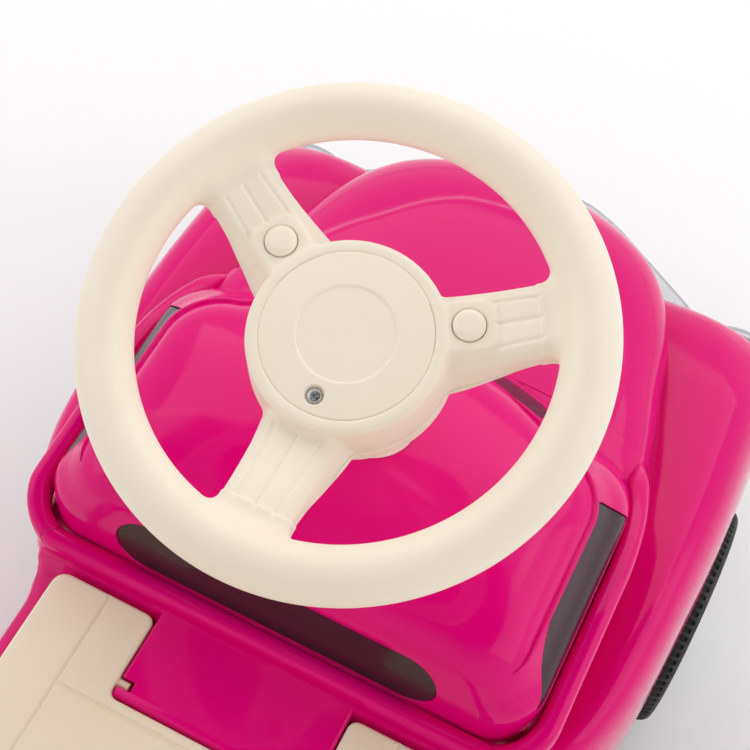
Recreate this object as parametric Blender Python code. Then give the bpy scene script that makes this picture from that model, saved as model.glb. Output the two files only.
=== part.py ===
"""Foot-to-floor push car in a retro style, as separate moulded pieces at real size.

Metres, +Z up. The front faces -Y, the driver's left is +X, and the origin is on the ground
under the middle of the car. The steering wheel turns the front wheels through a crank and a tie rod.
"""

import math

import bmesh
import bpy
from mathutils import Matrix, Vector

# Gaps between neighbouring pieces
GAP = 0.0003
SEAM = 0.0003
SLOT_PLAY = 0.0008

# Body shell: one long outline, split into hood and main body
WALL = 0.0026
HOOD_REAR_Y = -0.152
BODY_BOTTOM_Z = 0.048
# Half width of the body at its side, from nose to tail: (y, half width)
BODY_WIDTHS = [
    (-0.303, 0.014), (-0.300, 0.024), (-0.294, 0.034), (-0.283, 0.048), (-0.266, 0.067),
    (-0.243, 0.084), (-0.220, 0.096), (-0.190, 0.107), (-0.158, 0.115), (-0.124, 0.120),
    (-0.090, 0.124), (-0.045, 0.124), (-0.020, 0.120), (0.000, 0.112), (0.014, 0.104),
    (0.030, 0.100), (0.120, 0.100), (0.216, 0.100), (0.250, 0.098), (0.275, 0.089),
    (0.294, 0.071), (0.304, 0.048), (0.308, 0.032),
]
# Height of the body along its middle: (y, height)
BODY_CROWNS = [
    (-0.303, 0.152), (-0.300, 0.162), (-0.294, 0.176), (-0.283, 0.192), (-0.266, 0.205),
    (-0.243, 0.213), (-0.220, 0.217), (-0.190, 0.220), (-0.152, 0.222), (-0.100, 0.222),
    (-0.030, 0.219), (0.000, 0.216), (0.006, 0.214), (0.012, 0.204), (0.030, 0.2032),
    (0.216, 0.2032), (0.224, 0.207), (0.244, 0.207), (0.262, 0.199), (0.280, 0.185),
    (0.294, 0.165), (0.304, 0.143), (0.308, 0.128),
]
# Height of the edge where the body's rounded top ends: (y, height)
BODY_EDGES = [
    (-0.303, 0.146), (-0.283, 0.164), (-0.266, 0.171), (-0.243, 0.177), (-0.220, 0.181),
    (-0.190, 0.187), (-0.158, 0.194), (-0.124, 0.199), (0.000, 0.194), (0.030, 0.194),
    (0.216, 0.194), (0.250, 0.176), (0.275, 0.154), (0.294, 0.130), (0.308, 0.108),
]
# Width of the slope from that edge out to the upright side: (y, width)
BODY_SLOPES = [
    (-0.262, 0.0006), (-0.226, 0.0060), (-0.190, 0.0100), (-0.050, 0.0100), (0.000, 0.0030),
    (0.020, 0.0006),
]
SLOPE_STEEPNESS = 1.6
# Squareness of the rounded top: 2 is an ellipse, more is boxier: (y, exponent)
BODY_SQUARENESS = [
    (-0.303, 2.3), (-0.200, 2.7), (-0.152, 3.2), (-0.120, 5.0), (-0.010, 6.0),
    (0.020, 7.0), (0.216, 7.0), (0.250, 4.0), (0.308, 2.5),
]
BODY_TOP_STEPS = 5

# Belt roll: the bead that frames the foot of the cab
ROLL_HALF_WIDTH = 0.0045
ROLL_HALF_HEIGHT = 0.009
ROLL_X = 0.1138
ROLL_FRONT_X = 0.1030
ROLL_REAR_Y = 0.0045
ROLL_SIDE_Z = 0.224
ROLL_REAR_Z = 0.2135
ROLL_FRONT_Y = -0.149

# Cab: plan outlines from its foot to its roof: (height, half width, front y, rear y)
CAB_LEVELS = [
    (0.212, 0.1084, -0.1635, 0.0000), (0.233, 0.1086, -0.1480, -0.0018),
    (0.245, 0.1015, -0.1385, -0.0042), (0.255, 0.0952, -0.1305, -0.0072),
    (0.2610, 0.0900, -0.1230, -0.0130), (0.2655, 0.0790, -0.1100, -0.0240),
    (0.2695, 0.0480, -0.0880, -0.0460),
]
CAB_FRONT_BOW = 0.020
CAB_FRONT_CORNER = 0.026
CAB_REAR_CORNER = 0.020

# Windows: outlines on the cab's faces
CAB_HOLLOW_FOOT_Z = CAB_LEVELS[0][0] - 0.012
PANE_THICKNESS = 0.0018
PANE_SINK = 0.0012
SIDE_WINDOW = [(-0.107, 0.2345), (-0.0985, 0.2525), (-0.047, 0.2525), (-0.036, 0.2485), (-0.019, 0.2345)]
REAR_WINDOW_HALF = 0.072
REAR_WINDOW_Z = (0.2275, 0.2500)
WINDSHIELD_HALF = 0.062
WINDSHIELD_Z = (0.2300, 0.2520)

# Wheels
TYRE_RADIUS = 0.060
TYRE_WIDTH = 0.034
TYRE_OUTER_X = 0.1615
TYRE_FACES = 24
RIM_RADIUS = 0.046
HUB_RADIUS = 0.012
HUBCAP_RADIUS = 0.030
AXLE_RADIUS = 0.004
AXLE_Z = TYRE_RADIUS
FRONT_WHEEL_Y = -0.162
REAR_WHEEL_Y = 0.190
SHOULDER_GAP = 0.0015
ARCH_HALF_LENGTH = 0.080
ARCH_HEIGHT = 0.069
FENDER_ARCH_RISE = 0.0025
REAR_ARCH_RADIUS = 0.068
ARCH_INNER_X = 0.086

# Fenders along the car: (y, outer x, crown height, height of the lower edge)
FENDER_WALL = 0.0024
FENDER_INSET = 0.008
FRONT_FENDER = [
    (-0.275, 0.126, 0.149, 0.104), (-0.271, 0.137, 0.159, 0.094), (-0.260, 0.148, 0.171, 0.083),
    (-0.240, 0.153, 0.181, 0.074), (-0.212, 0.155, 0.188, 0.070), (-0.165, 0.155, 0.192, 0.070),
    (-0.105, 0.152, 0.194, 0.070), (-0.062, 0.148, 0.193, 0.071), (-0.030, 0.139, 0.188, 0.077),
    (-0.010, 0.127, 0.181, 0.088), (0.001, 0.117, 0.172, 0.100), (0.007, 0.109, 0.162, 0.114),
]
REAR_FENDER = [
    (0.108, 0.107, 0.150, 0.110), (0.114, 0.119, 0.161, 0.098), (0.132, 0.137, 0.173, 0.084),
    (0.160, 0.151, 0.181, 0.073), (0.195, 0.154, 0.182, 0.070), (0.232, 0.152, 0.177, 0.072),
    (0.262, 0.145, 0.166, 0.079), (0.282, 0.131, 0.150, 0.090), (0.291, 0.116, 0.137, 0.101),
]
# Section of a fender from the body to its outer edge: (share across, share of the height)
FENDER_SECTION = [
    (0.0, 0.93), (0.30, 0.98), (0.52, 1.0), (0.70, 0.975), (0.84, 0.90), (0.94, 0.74), (1.0, 0.48),
]

# Lights and bumpers; the bumpers' plans run from the middle round the end to the body behind
HEADLIGHT_X = 0.125
HEADLIGHT_Z = 0.122
HEADLIGHT_RADIUS = 0.0235
HEADLIGHT_FACE_Y = FRONT_FENDER[0][0] - 2.0 * GAP
TAIL_X = 0.122
TAIL_Z = 0.122
TAIL_RADIUS = 0.0150
TAIL_FACE_Y = REAR_FENDER[-1][0] + 0.002
# The bumpers are the ends of the car: half width, then how far behind the middle's face
HALF_LENGTH = 0.3200
BUMPER_EDGE = 0.005
FRONT_BUMPER_Z = (0.113, 0.150)
FRONT_BUMPER_BACK = HALF_LENGTH + FRONT_FENDER[0][0] - GAP
FRONT_BUMPER = [
    (0.000, 0.0000), (0.022, 0.0022), (0.040, 0.0082), (0.060, 0.0190), (0.078, 0.0292), (0.090, 0.0360),
    (0.0965, 0.0400), (0.0960, FRONT_BUMPER_BACK), (0.0650, FRONT_BUMPER_BACK), (0.000, 0.0240),
]
REAR_BUMPER_Z = (0.090, 0.122)
REAR_BUMPER_BACK = HALF_LENGTH - REAR_FENDER[-1][0] - GAP
REAR_BUMPER = [
    (0.000, 0.0000), (0.024, 0.0008), (0.048, 0.0038), (0.070, 0.0092), (0.086, 0.0156), (0.0955, 0.0218),
    (0.0975, REAR_BUMPER_BACK - 0.0020), (0.0960, REAR_BUMPER_BACK), (0.0600, REAR_BUMPER_BACK),
    (0.000, 0.0170),
]

# Seat lid, its hinge and the bin under it
LID_HALF = 0.0896
LID_FRONT_Y = 0.014
LID_REAR_Y = 0.215
LID_TOP_Z = 0.215
LID_SKIRT = 0.0087
LID_WALL = 0.0028
LID_CORNER = 0.008
LID_PLAY = 0.0008
NOTCH_HALF = 0.0441
NOTCH_DEPTH = 0.0360
HINGE_Y = 0.043
HINGE_Z = 0.211
HINGE_PIN_RADIUS = 0.0019
HINGE_PIN_LENGTH = 0.0050
LID_SWING = 80.0
TONGUE_TOP_Z = 0.2145
BIN_WALL = 0.0022
BIN_BOTTOM_Z = 0.092
BIN_TOP_Z = 0.1989

# Backrest with its handle gap
BACKREST_BOTTOM_HALF = 0.078
BACKREST_TOP_HALF = 0.062
BACKREST_TOP_Z = 0.338
BACKREST_THICKNESS = 0.016
BACKREST_Y = 0.229
BACKREST_LEAN = 8.0
HANDLE_HALF = 0.040
HANDLE_Z = (BACKREST_TOP_Z - 0.046, BACKREST_TOP_Z - 0.022)

# Chassis tray
TRAY_Z = (0.044, 0.0477)
TRAY = [
    (0.024, -0.296), (0.050, -0.280), (0.070, -0.260), (0.081, -0.240), (0.084, -0.232),
    (0.084, FRONT_WHEEL_Y + 0.077), (0.117, FRONT_WHEEL_Y + 0.092), (0.118, -0.030),
    (0.103, 0.006), (0.0995, 0.030), (0.0995, REAR_WHEEL_Y - 0.074), (0.090, REAR_WHEEL_Y - 0.064),
    (0.090, 0.254), (0.080, 0.280), (0.050, 0.300),
]
# Foot that stops the car from tipping back, as two blocks: (half width, front y, rear y, underside)
TIP_FOOT = [(0.040, 0.262, 0.292, 0.030), (0.034, 0.266, 0.288, 0.020)]
KINGPIN_X = 0.112
KINGPIN_RADIUS = 0.004
ARM_Z = (0.072, 0.084)
STEER_ARM = 0.037
KNUCKLE_Z = (0.052, 0.0697)

# Steering: the column rises from its crank, and its length sets the height of the steering wheel
STEER_TILT = math.radians(15.19)
COLUMN_LENGTH = 0.2995
CRANK_Y = FRONT_WHEEL_Y + 0.0296
CRANK_HEIGHT = 0.0781
WHEEL_CENTRE = Vector((0.0, CRANK_Y + COLUMN_LENGTH * math.sin(STEER_TILT),
                       CRANK_HEIGHT + COLUMN_LENGTH * math.cos(STEER_TILT)))
WHEEL_RING_RADIUS = 0.0801
WHEEL_TUBE_RADIUS = 0.0099
WHEEL_SHELL = 0.0022
SPOKE_ANGLES = (60.0, 180.0, 300.0)
SPOKE_HALF_HUB = 0.0153
SPOKE_HALF_RIM = 0.0128
SPOKE_TOP_Z = 0.0012
SPOKE_BOTTOM_Z = -0.0100
HUB_SHELL_RADIUS = 0.03375
HUB_TOP_Z = -0.0016
HUB_BOTTOM_Z = -0.0330
COVER_RADIUS = 0.02925
COVER_THICKNESS = 0.0024
# The two shells part where the cover's seat begins
SPLIT_Z = HUB_TOP_Z - COVER_THICKNESS - GAP + SEAM / 2.0
NECK_RADIUS = 0.0130
# Where the column passes the roof, measured along it from the steering wheel
ROOF_Z = (CAB_LEVELS[-1][0] - WHEEL_CENTRE.z) / math.cos(STEER_TILT)
NECK_BOTTOM_Z = ROOF_Z - 0.0049
COLUMN_RADIUS = 0.0050
CRANK_RADIUS = 0.020
CRANK_Z = -COLUMN_LENGTH
CRANK_PIN_RADIUS = 0.0028
CRANK_PIN_LENGTH = 0.0150
COLUMN_SHOULDER_Z = CRANK_Z + 0.0255
BUSH_TOP = COLUMN_SHOULDER_Z - GAP
BUSH_RADIUS = 0.0080
BUSH_FLANGE = 0.0022
BUSH_FLANGE_RADIUS = 0.0110
BUTTON_DISTANCE = 0.0405
BUTTON_RADIUS = 0.00555
BUTTON_TRAVEL = 0.0018
SCREW_DISTANCE = 0.0231

# Tie rod
TIE_Y = FRONT_WHEEL_Y + STEER_ARM
TIE_Z = (0.0633, 0.0683)
TIE_HALF_WIDTH = 0.0050
TIE_PIN_RADIUS = 0.0026
# Where the crank's pin passes the tie rod
CRANK_PIN_Y = (CRANK_Y + CRANK_RADIUS / math.cos(STEER_TILT)
               + (sum(TIE_Z) / 2.0 - CRANK_HEIGHT) * math.tan(STEER_TILT))

COLOURS = {
    "body": ((0.62, 0.0, 0.13), 0.12, 0.0),
    "cream": ((0.86, 0.78, 0.62), 0.45, 0.0),
    "smoke": ((0.05, 0.04, 0.045), 0.15, 0.0),
    "silver": ((0.60, 0.61, 0.63), 0.22, 0.9),
    "rubber": ((0.012, 0.012, 0.012), 0.75, 0.0),
    "black": ((0.02, 0.02, 0.022), 0.5, 0.0),
    "steel": ((0.55, 0.55, 0.56), 0.3, 1.0),
    "lens": ((0.80, 0.82, 0.84), 0.08, 0.0),
    "red": ((0.45, 0.01, 0.01), 0.1, 0.0),
    "board": ((0.02, 0.16, 0.05), 0.5, 0.0),
    "cell": ((0.10, 0.10, 0.11), 0.35, 0.3),
}


def clear_scene():
    for obj in list(bpy.data.objects):
        bpy.data.objects.remove(obj, do_unlink=True)


def material_for(name, look):
    colour, roughness, metallic = COLOURS[look]
    material = bpy.data.materials.new(name)
    material.use_nodes = True
    shader = material.node_tree.nodes["Principled BSDF"]
    shader.inputs["Base Color"].default_value = (*colour, 1.0)
    shader.inputs["Roughness"].default_value = roughness
    shader.inputs["Metallic"].default_value = metallic
    return material


def mesh_object(name, points, faces):
    """A closed mesh with its faces pointing out."""
    bm = bmesh.new()
    verts = [bm.verts.new(point) for point in points]
    for face in faces:
        bm.faces.new([verts[index] for index in face])
    bmesh.ops.recalc_face_normals(bm, faces=bm.faces)
    mesh = bpy.data.meshes.new(name)
    bm.to_mesh(mesh)
    bm.free()
    obj = bpy.data.objects.new(name, mesh)
    bpy.context.collection.objects.link(obj)
    return obj


def loft(rings, name="form"):
    """Closed rings of equal length, joined in order, with flat ends."""
    count = len(rings[0])
    points = [point for ring in rings for point in ring]
    faces = []
    for row in range(len(rings) - 1):
        for column in range(count):
            after = (column + 1) % count
            faces.append((row * count + column, row * count + after,
                          (row + 1) * count + after, (row + 1) * count + column))
    faces.append(tuple(range(count)))
    faces.append(tuple((len(rings) - 1) * count + column for column in range(count)))
    return mesh_object(name, points, faces)


def prism(outline, low, high, name="form"):
    """An outline in X and Y between two heights."""
    return loft([[(x, y, low) for x, y in outline], [(x, y, high) for x, y in outline]], name)


def box(low, high, name="form"):
    return prism([(low[0], low[1]), (high[0], low[1]), (high[0], high[1]), (low[0], high[1])],
                 low[2], high[2], name)


def turned(profile, segments=24, name="form"):
    """A closed outline of (radius, height), turned about Z; radius 0 lies on the axis."""
    # A pole on a flat end is left out, so that the end is one flat face
    kept = []
    for index, (radius, height) in enumerate(profile):
        beside = (profile[index - 1], profile[(index + 1) % len(profile)])
        flat = any(other[0] > 0.0 and other[1] == height for other in beside)
        if radius > 0.0 or not flat:
            kept.append((radius, height))
    points = []
    rows = []
    for radius, height in kept:
        count = segments if radius > 0.0 else 1
        rows.append([len(points) + step for step in range(count)])
        for step in range(count):
            angle = 2.0 * math.pi * step / segments
            points.append((radius * math.cos(angle), radius * math.sin(angle), height))
    closed = all(radius > 0.0 for radius, _ in profile)
    faces = []
    for index, row in enumerate(rows):
        if index == len(rows) - 1 and not closed:
            break
        following = rows[(index + 1) % len(rows)]
        for step in range(segments):
            after = (step + 1) % segments
            face = []
            for ring, place_in_ring in ((row, step), (row, after), (following, after), (following, step)):
                vertex = ring[place_in_ring % len(ring)]
                if vertex not in face:
                    face.append(vertex)
            faces.append(tuple(face))
    if not closed:
        faces += [tuple(row) for row in (rows[0], rows[-1]) if len(row) > 1]
    return mesh_object(name, points, faces)


def cylinder(radius, low, high, segments=24):
    return turned([(0.0, low), (radius, low), (radius, high), (0.0, high)], segments)


def place(obj, matrix):
    """Move the mesh itself, so that the object stays at the origin."""
    obj.data.transform(matrix)
    if matrix.determinant() < 0.0:
        obj.data.flip_normals()
    return obj


def moved(obj, x=0.0, y=0.0, z=0.0):
    return place(obj, Matrix.Translation((x, y, z)))


def on_side(obj, side):
    """Leave a form made for the left, or mirror it to the right."""
    if side < 0.0:
        place(obj, Matrix.Scale(-1.0, 4, (1.0, 0.0, 0.0)))
    return obj


def along_x(obj):
    """Turn a form made about Z so that its axis is X, and its top points to +X."""
    return place(obj, Matrix.Rotation(math.radians(90.0), 4, "Y"))


def along_y(obj):
    """Turn a form made about Z so that its axis is Y, and its top points to -Y."""
    return place(obj, Matrix.Rotation(math.radians(90.0), 4, "X"))


def combine(target, tool, operation):
    """Apply one Boolean and remove the tool."""
    modifier = target.modifiers.new("combine", "BOOLEAN")
    modifier.operation = operation
    modifier.object = tool
    modifier.solver = "EXACT"
    bpy.context.view_layer.update()
    graph = bpy.context.evaluated_depsgraph_get()
    mesh = bpy.data.meshes.new_from_object(target.evaluated_get(graph))
    target.modifiers.clear()
    target.data = mesh
    bpy.data.objects.remove(tool, do_unlink=True)
    return target


def cut(target, *tools):
    for tool in tools:
        combine(target, tool, "DIFFERENCE")
    return target


def join(target, *tools):
    for tool in tools:
        combine(target, tool, "UNION")
    return target


def keep(target, tool):
    return combine(target, tool, "INTERSECT")


def finish(obj, name, look, origin=(0.0, 0.0, 0.0), sharp=35.0):
    """Name the piece, give it its material and put its origin on its joint's axis."""
    obj.name = name
    obj.data.name = name
    obj.data.materials.clear()
    obj.data.materials.append(material_for(name, look))
    obj.data.transform(Matrix.Translation(-Vector(origin)))
    obj.location = origin
    obj.data.shade_smooth()
    obj.data.set_sharp_from_angle(angle=math.radians(sharp))
    return obj


def value_at(table, y, column=1):
    """Smooth value between the rows of a table sorted by its first column."""
    if y <= table[0][0]:
        return table[0][column]
    if y >= table[-1][0]:
        return table[-1][column]
    index = max(row for row in range(len(table) - 1) if table[row][0] <= y)
    low, high = table[index], table[index + 1]
    span = high[0] - low[0]
    share = (y - low[0]) / span

    def slope(row):
        before, after = table[max(row - 1, 0)], table[min(row + 1, len(table) - 1)]
        here = table[row]
        if before is here or after is here:
            return (after[column] - before[column]) / (after[0] - before[0])
        left = (here[column] - before[column]) / (here[0] - before[0])
        right = (after[column] - here[column]) / (after[0] - here[0])
        if left * right <= 0.0:
            return 0.0
        return 2.0 * left * right / (left + right)

    start, end = slope(index) * span, slope(index + 1) * span
    square, cube = share ** 2, share ** 3
    return (low[column] * (2 * cube - 3 * square + 1) + start * (cube - 2 * square + share)
            + high[column] * (3 * square - 2 * cube) + end * (cube - square))


# Central body


def body_ring(y, inset, bottom, measured_at=None):
    """Section of the body across the car at one y."""
    at = y if measured_at is None else measured_at
    side = value_at(BODY_WIDTHS, at) - inset
    crown = value_at(BODY_CROWNS, at) - inset
    edge = min(value_at(BODY_EDGES, at), crown - 0.004)
    slope = value_at(BODY_SLOPES, at)
    power = 2.0 / value_at(BODY_SQUARENESS, at)
    half = side - slope
    right = [(side, bottom), (side, edge - slope * SLOPE_STEEPNESS)]
    for step in range(BODY_TOP_STEPS):
        angle = math.pi / 2.0 * (1.0 - step / BODY_TOP_STEPS)
        right.append((half * math.sin(angle) ** power,
                      edge + (crown - edge) * max(math.cos(angle), 0.0) ** power))
    left = [(-x, z) for x, z in reversed(right)]
    return [(x, y, z) for x, z in right + [(0.0, crown)] + left]


def body_form(start, end, inset, bottom):
    """Solid of the body between two y values, smaller all round by inset."""
    stations = [row[0] for row in BODY_CROWNS if start < row[0] < end]
    nose, tail = BODY_CROWNS[0][0], BODY_CROWNS[-1][0]
    rings = []
    for y in [start, *stations, end]:
        shifted = y
        if inset > 0.0:
            shifted = min(max(y, nose + inset), tail - inset)
            if shifted != y and rings and abs(rings[-1][0][1] - shifted) < 1e-6:
                continue
        rings.append(body_ring(shifted, inset, bottom, measured_at=y if inset > 0.0 else None))
    kept = [rings[0]]
    for ring in rings[1:]:
        if ring[0][1] - kept[-1][0][1] > 0.0015:
            kept.append(ring)
    return loft(kept)


def grown_body():
    """The whole body, larger by the gap, to cut its neighbours."""
    nose, tail = BODY_CROWNS[0][0], BODY_CROWNS[-1][0]
    stations = [row[0] for row in BODY_CROWNS]
    rings = [body_ring(y, -GAP, BODY_BOTTOM_Z - 0.02, y) for y in stations]
    rings[0] = [(x, nose - GAP, z) for x, _, z in rings[0]]
    rings[-1] = [(x, tail + GAP, z) for x, _, z in rings[-1]]
    return loft(rings)


def roll_path():
    """Middle line of the belt roll, from the left front round the back to the right front."""
    corner = ROLL_X - 0.012
    left = [
        (ROLL_FRONT_X, ROLL_FRONT_Y, ROLL_SIDE_Z - 0.0120),
        (ROLL_FRONT_X + 0.0038, -0.133, ROLL_SIDE_Z - 0.0085),
        (ROLL_X - 0.0025, -0.114, ROLL_SIDE_Z - 0.0040),
        (ROLL_X - 0.0002, -0.092, ROLL_SIDE_Z - 0.0008),
        (ROLL_X, -0.066, ROLL_SIDE_Z),
        (ROLL_X, -0.032, ROLL_SIDE_Z - 0.001),
        (ROLL_X - 0.0008, -0.015, ROLL_SIDE_Z - 0.004),
        (ROLL_X - 0.0035, -0.0045, ROLL_REAR_Z + 0.003),
        (corner, ROLL_REAR_Y - 0.0015, ROLL_REAR_Z + 0.001),
        (corner - 0.012, ROLL_REAR_Y, ROLL_REAR_Z),
    ]
    return left + [(-x, y, z) for x, y, z in reversed(left)]


def roll_form(grow):
    """The belt roll as a swept oval, larger all round by grow."""
    path = [Vector(point) for point in roll_path()]
    rings = []
    for index, point in enumerate(path):
        before = path[max(index - 1, 0)]
        after = path[min(index + 1, len(path) - 1)]
        forward = (after - before)
        forward.z = 0.0
        forward.normalize()
        side = Vector((forward.y, -forward.x, 0.0))
        if index in (0, len(path) - 1):
            point = point + forward * (-grow if index == 0 else grow)
        ring = []
        for step in range(6):
            angle = math.radians(60.0 * step + 30.0)
            ring.append(point + side * (ROLL_HALF_WIDTH + grow) * math.cos(angle)
                        + Vector((0.0, 0.0, (ROLL_HALF_HEIGHT + grow) * math.sin(angle))))
        rings.append(ring)
    return loft(rings)


def steering_matrix():
    """From the steering wheel's own frame to the car: its Z runs up the column."""
    return Matrix.Translation(WHEEL_CENTRE) @ Matrix.Rotation(-STEER_TILT, 4, "X")


def column_cutter(radius):
    """A cylinder along the steering column, for the holes it passes through."""
    return place(cylinder(radius, CRANK_Z - 0.03, ROOF_Z + 0.05, 20), steering_matrix())


def make_hood():
    outer = body_form(BODY_CROWNS[0][0], HOOD_REAR_Y - SEAM / 2.0, 0.0, BODY_BOTTOM_Z)
    inner = body_form(BODY_CROWNS[0][0], HOOD_REAR_Y + 0.01, WALL, BODY_BOTTOM_Z - 0.01)
    cut(outer, inner, arch_cutter(1.0), arch_cutter(-1.0))
    return finish(outer, "hood", "body")


def arch_cutter(side, rise=0.0):
    """The space that the turning front wheel needs, as an oval across the car, higher by rise."""
    rings = []
    for x in (ARCH_INNER_X, 0.200):
        ring = []
        for step in range(28):
            angle = 2.0 * math.pi * step / 28
            ring.append((side * x, FRONT_WHEEL_Y + ARCH_HALF_LENGTH * math.cos(angle),
                         AXLE_Z + (ARCH_HEIGHT + rise) * math.sin(angle)))
        rings.append(ring)
    return loft(rings)


def rear_arch_cutter(side):
    return moved(along_x(cylinder(REAR_ARCH_RADIUS, side * 0.145 - 0.053, side * 0.145 + 0.053, 28)),
                 y=REAR_WHEEL_Y, z=AXLE_Z)


def seat_opening(play, low, high):
    """Outline of the seat lid, larger by play, between two heights."""
    half, front, rear = LID_HALF + play, LID_FRONT_Y - play, LID_REAR_Y + play
    return prism(rounded_rectangle(-half, half, front, rear, LID_CORNER, 3), low, high)


def rounded_rectangle(left, right, front, rear, radius, steps):
    corners = [(right - radius, rear - radius, 0.0), (left + radius, rear - radius, 90.0),
               (left + radius, front + radius, 180.0), (right - radius, front + radius, 270.0)]
    outline = []
    for x, y, start in corners:
        for step in range(steps + 1):
            angle = math.radians(start + 90.0 * step / steps)
            outline.append((x + radius * math.cos(angle), y + radius * math.sin(angle)))
    return outline


def make_main_body():
    tail = BODY_CROWNS[-1][0]
    front = HOOD_REAR_Y + SEAM / 2.0
    outer = body_form(front, tail, 0.0, BODY_BOTTOM_Z)
    inner = body_form(front - 0.01, tail, WALL, BODY_BOTTOM_Z - 0.01)
    body = cut(outer, inner)
    join(body, roll_form(0.0))
    join(body, tongue_form())
    notch = box((-NOTCH_HALF + 0.0007, 0.0, 0.170), (NOTCH_HALF - 0.0007, LID_FRONT_Y + NOTCH_DEPTH - 0.0007, 0.240))
    cut(body, cut(seat_opening(LID_PLAY, 0.185, 0.225), notch))
    for side in (1.0, -1.0):
        slot = box((NOTCH_HALF - HINGE_PIN_LENGTH - 0.0019, HINGE_Y - HINGE_PIN_RADIUS - GAP,
                    HINGE_Z - HINGE_PIN_RADIUS - GAP),
                   (NOTCH_HALF + 0.006, HINGE_Y + HINGE_PIN_RADIUS + GAP, TONGUE_TOP_Z + 0.005))
        cut(body, on_side(slot, side))
    for side in (1.0, -1.0):
        cut(body, arch_cutter(side), rear_arch_cutter(side))
    cut(body, column_cutter(0.016))
    return finish(body, "main_body", "body")


def tongue_form():
    """The part of the body that reaches over the lid's notch and holds its hinge pins."""
    half = NOTCH_HALF - 0.0007
    rear = LID_FRONT_Y + NOTCH_DEPTH - 0.0007
    profile = [(0.006, 0.2010), (rear - 0.003, 0.2010), (rear, 0.2040), (rear, TONGUE_TOP_Z - 0.003),
               (rear - 0.003, TONGUE_TOP_Z), (0.007, TONGUE_TOP_Z)]
    return loft([[(x, y, z) for y, z in profile] for x in (-half, half)])


# Cab and windows


def cab_outline(half, front, rear, inset):
    """Plan outline of the cab: bowed front, rounded corners."""
    half, front, rear = half - inset, front + inset, rear - inset
    length = rear - front
    front_corner = min(CAB_FRONT_CORNER, half * 0.6, length * 0.3)
    rear_corner = min(CAB_REAR_CORNER, half * 0.6, length * 0.3)
    bow = min(CAB_FRONT_BOW, half * 0.25, length * 0.2)
    right = [(0.0, rear), (half * 0.45, rear)]
    for step in range(4):
        angle = math.radians(90.0 - 30.0 * step)
        right.append((half - rear_corner + rear_corner * math.cos(angle),
                      rear - rear_corner + rear_corner * math.sin(angle)))
    side_front = front + bow + front_corner
    right.append((half, rear - rear_corner + (side_front - rear + rear_corner) * 0.5))
    for step in range(4):
        angle = math.radians(-26.0 * step)
        right.append((half - front_corner + front_corner * math.cos(angle),
                      side_front + front_corner * math.sin(angle)))
    last_x, last_y = right[-1]
    right.append((last_x * 0.66, front + (last_y - front) * 0.33))
    right.append((last_x * 0.33, front + (last_y - front) * 0.06))
    left = [(-x, y) for x, y in reversed(right[1:])]
    return right + [(0.0, front)] + left


def cab_form(inset, foot=None):
    """Solid of the cab, smaller all round by inset."""
    rings = []
    for level, (z, half, front, rear) in enumerate(CAB_LEVELS):
        height = z - inset
        if level == 0:
            height = z if foot is None else foot
        rings.append([(x, y, height) for x, y in cab_outline(half, front, rear, inset)])
    return loft(rings)


def oval_window(half, low, high, steps=4):
    """A long window with round ends: points of (x, z)."""
    radius = (high - low) / 2.0
    middle = (high + low) / 2.0
    outline = []
    for step in range(2 * steps + 1):
        angle = math.radians(-90.0 + 180.0 * step / (2 * steps))
        outline.append((half - radius + radius * math.cos(angle), middle + radius * math.sin(angle)))
    return outline + [(-x, z) for x, z in reversed(outline)]


def grown(outline, amount):
    """An outline moved outwards by amount at each corner; negative makes it smaller."""
    count = len(outline)
    area = sum(outline[i][0] * outline[(i + 1) % count][1] - outline[(i + 1) % count][0] * outline[i][1]
               for i in range(count))
    sign = 1.0 if area > 0.0 else -1.0
    result = []
    for index in range(count):
        here = Vector(outline[index])
        before = (here - Vector(outline[index - 1])).normalized()
        after = (Vector(outline[(index + 1) % count]) - here).normalized()
        normal = Vector((before.y + after.y, -before.x - after.x)).normalized() * sign
        stretch = 1.0 / max(normal.dot(Vector((before.y, -before.x)) * sign), 0.4)
        result.append(tuple(here + normal * amount * stretch))
    return result


def window_cutter(which, grow):
    if which == "rear_window":
        outline = grown(oval_window(REAR_WINDOW_HALF, *REAR_WINDOW_Z), grow)
        return loft([[(x, y, z) for x, z in outline] for y in (-0.045, 0.030)])
    if which == "windshield":
        outline = grown(oval_window(WINDSHIELD_HALF, *WINDSHIELD_Z), grow)
        return loft([[(x, y, z) for x, z in outline] for y in (-0.180, -0.098)])
    side = 1.0 if which == "left_window" else -1.0
    outline = grown(SIDE_WINDOW, grow)
    return loft([[(side * x, y, z) for y, z in outline] for x in (0.083, 0.125)])


WINDOWS = ("windshield", "rear_window", "left_window", "right_window")


def make_cab():
    cab = cut(cab_form(0.0), cab_form(WALL, foot=CAB_HOLLOW_FOOT_Z))
    cut(cab, grown_body(), roll_form(GAP))
    for which in WINDOWS:
        cut(cab, window_cutter(which, 0.0))
    cut(cab, column_cutter(0.0165))
    return finish(cab, "cab", "body")


def make_windows():
    for which in WINDOWS:
        pane = cut(cab_form(PANE_SINK), cab_form(PANE_SINK + PANE_THICKNESS, foot=CAB_HOLLOW_FOOT_Z))
        keep(pane, window_cutter(which, -GAP))
        finish(pane, which, "smoke")


# Fenders, lights and bumpers


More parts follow.
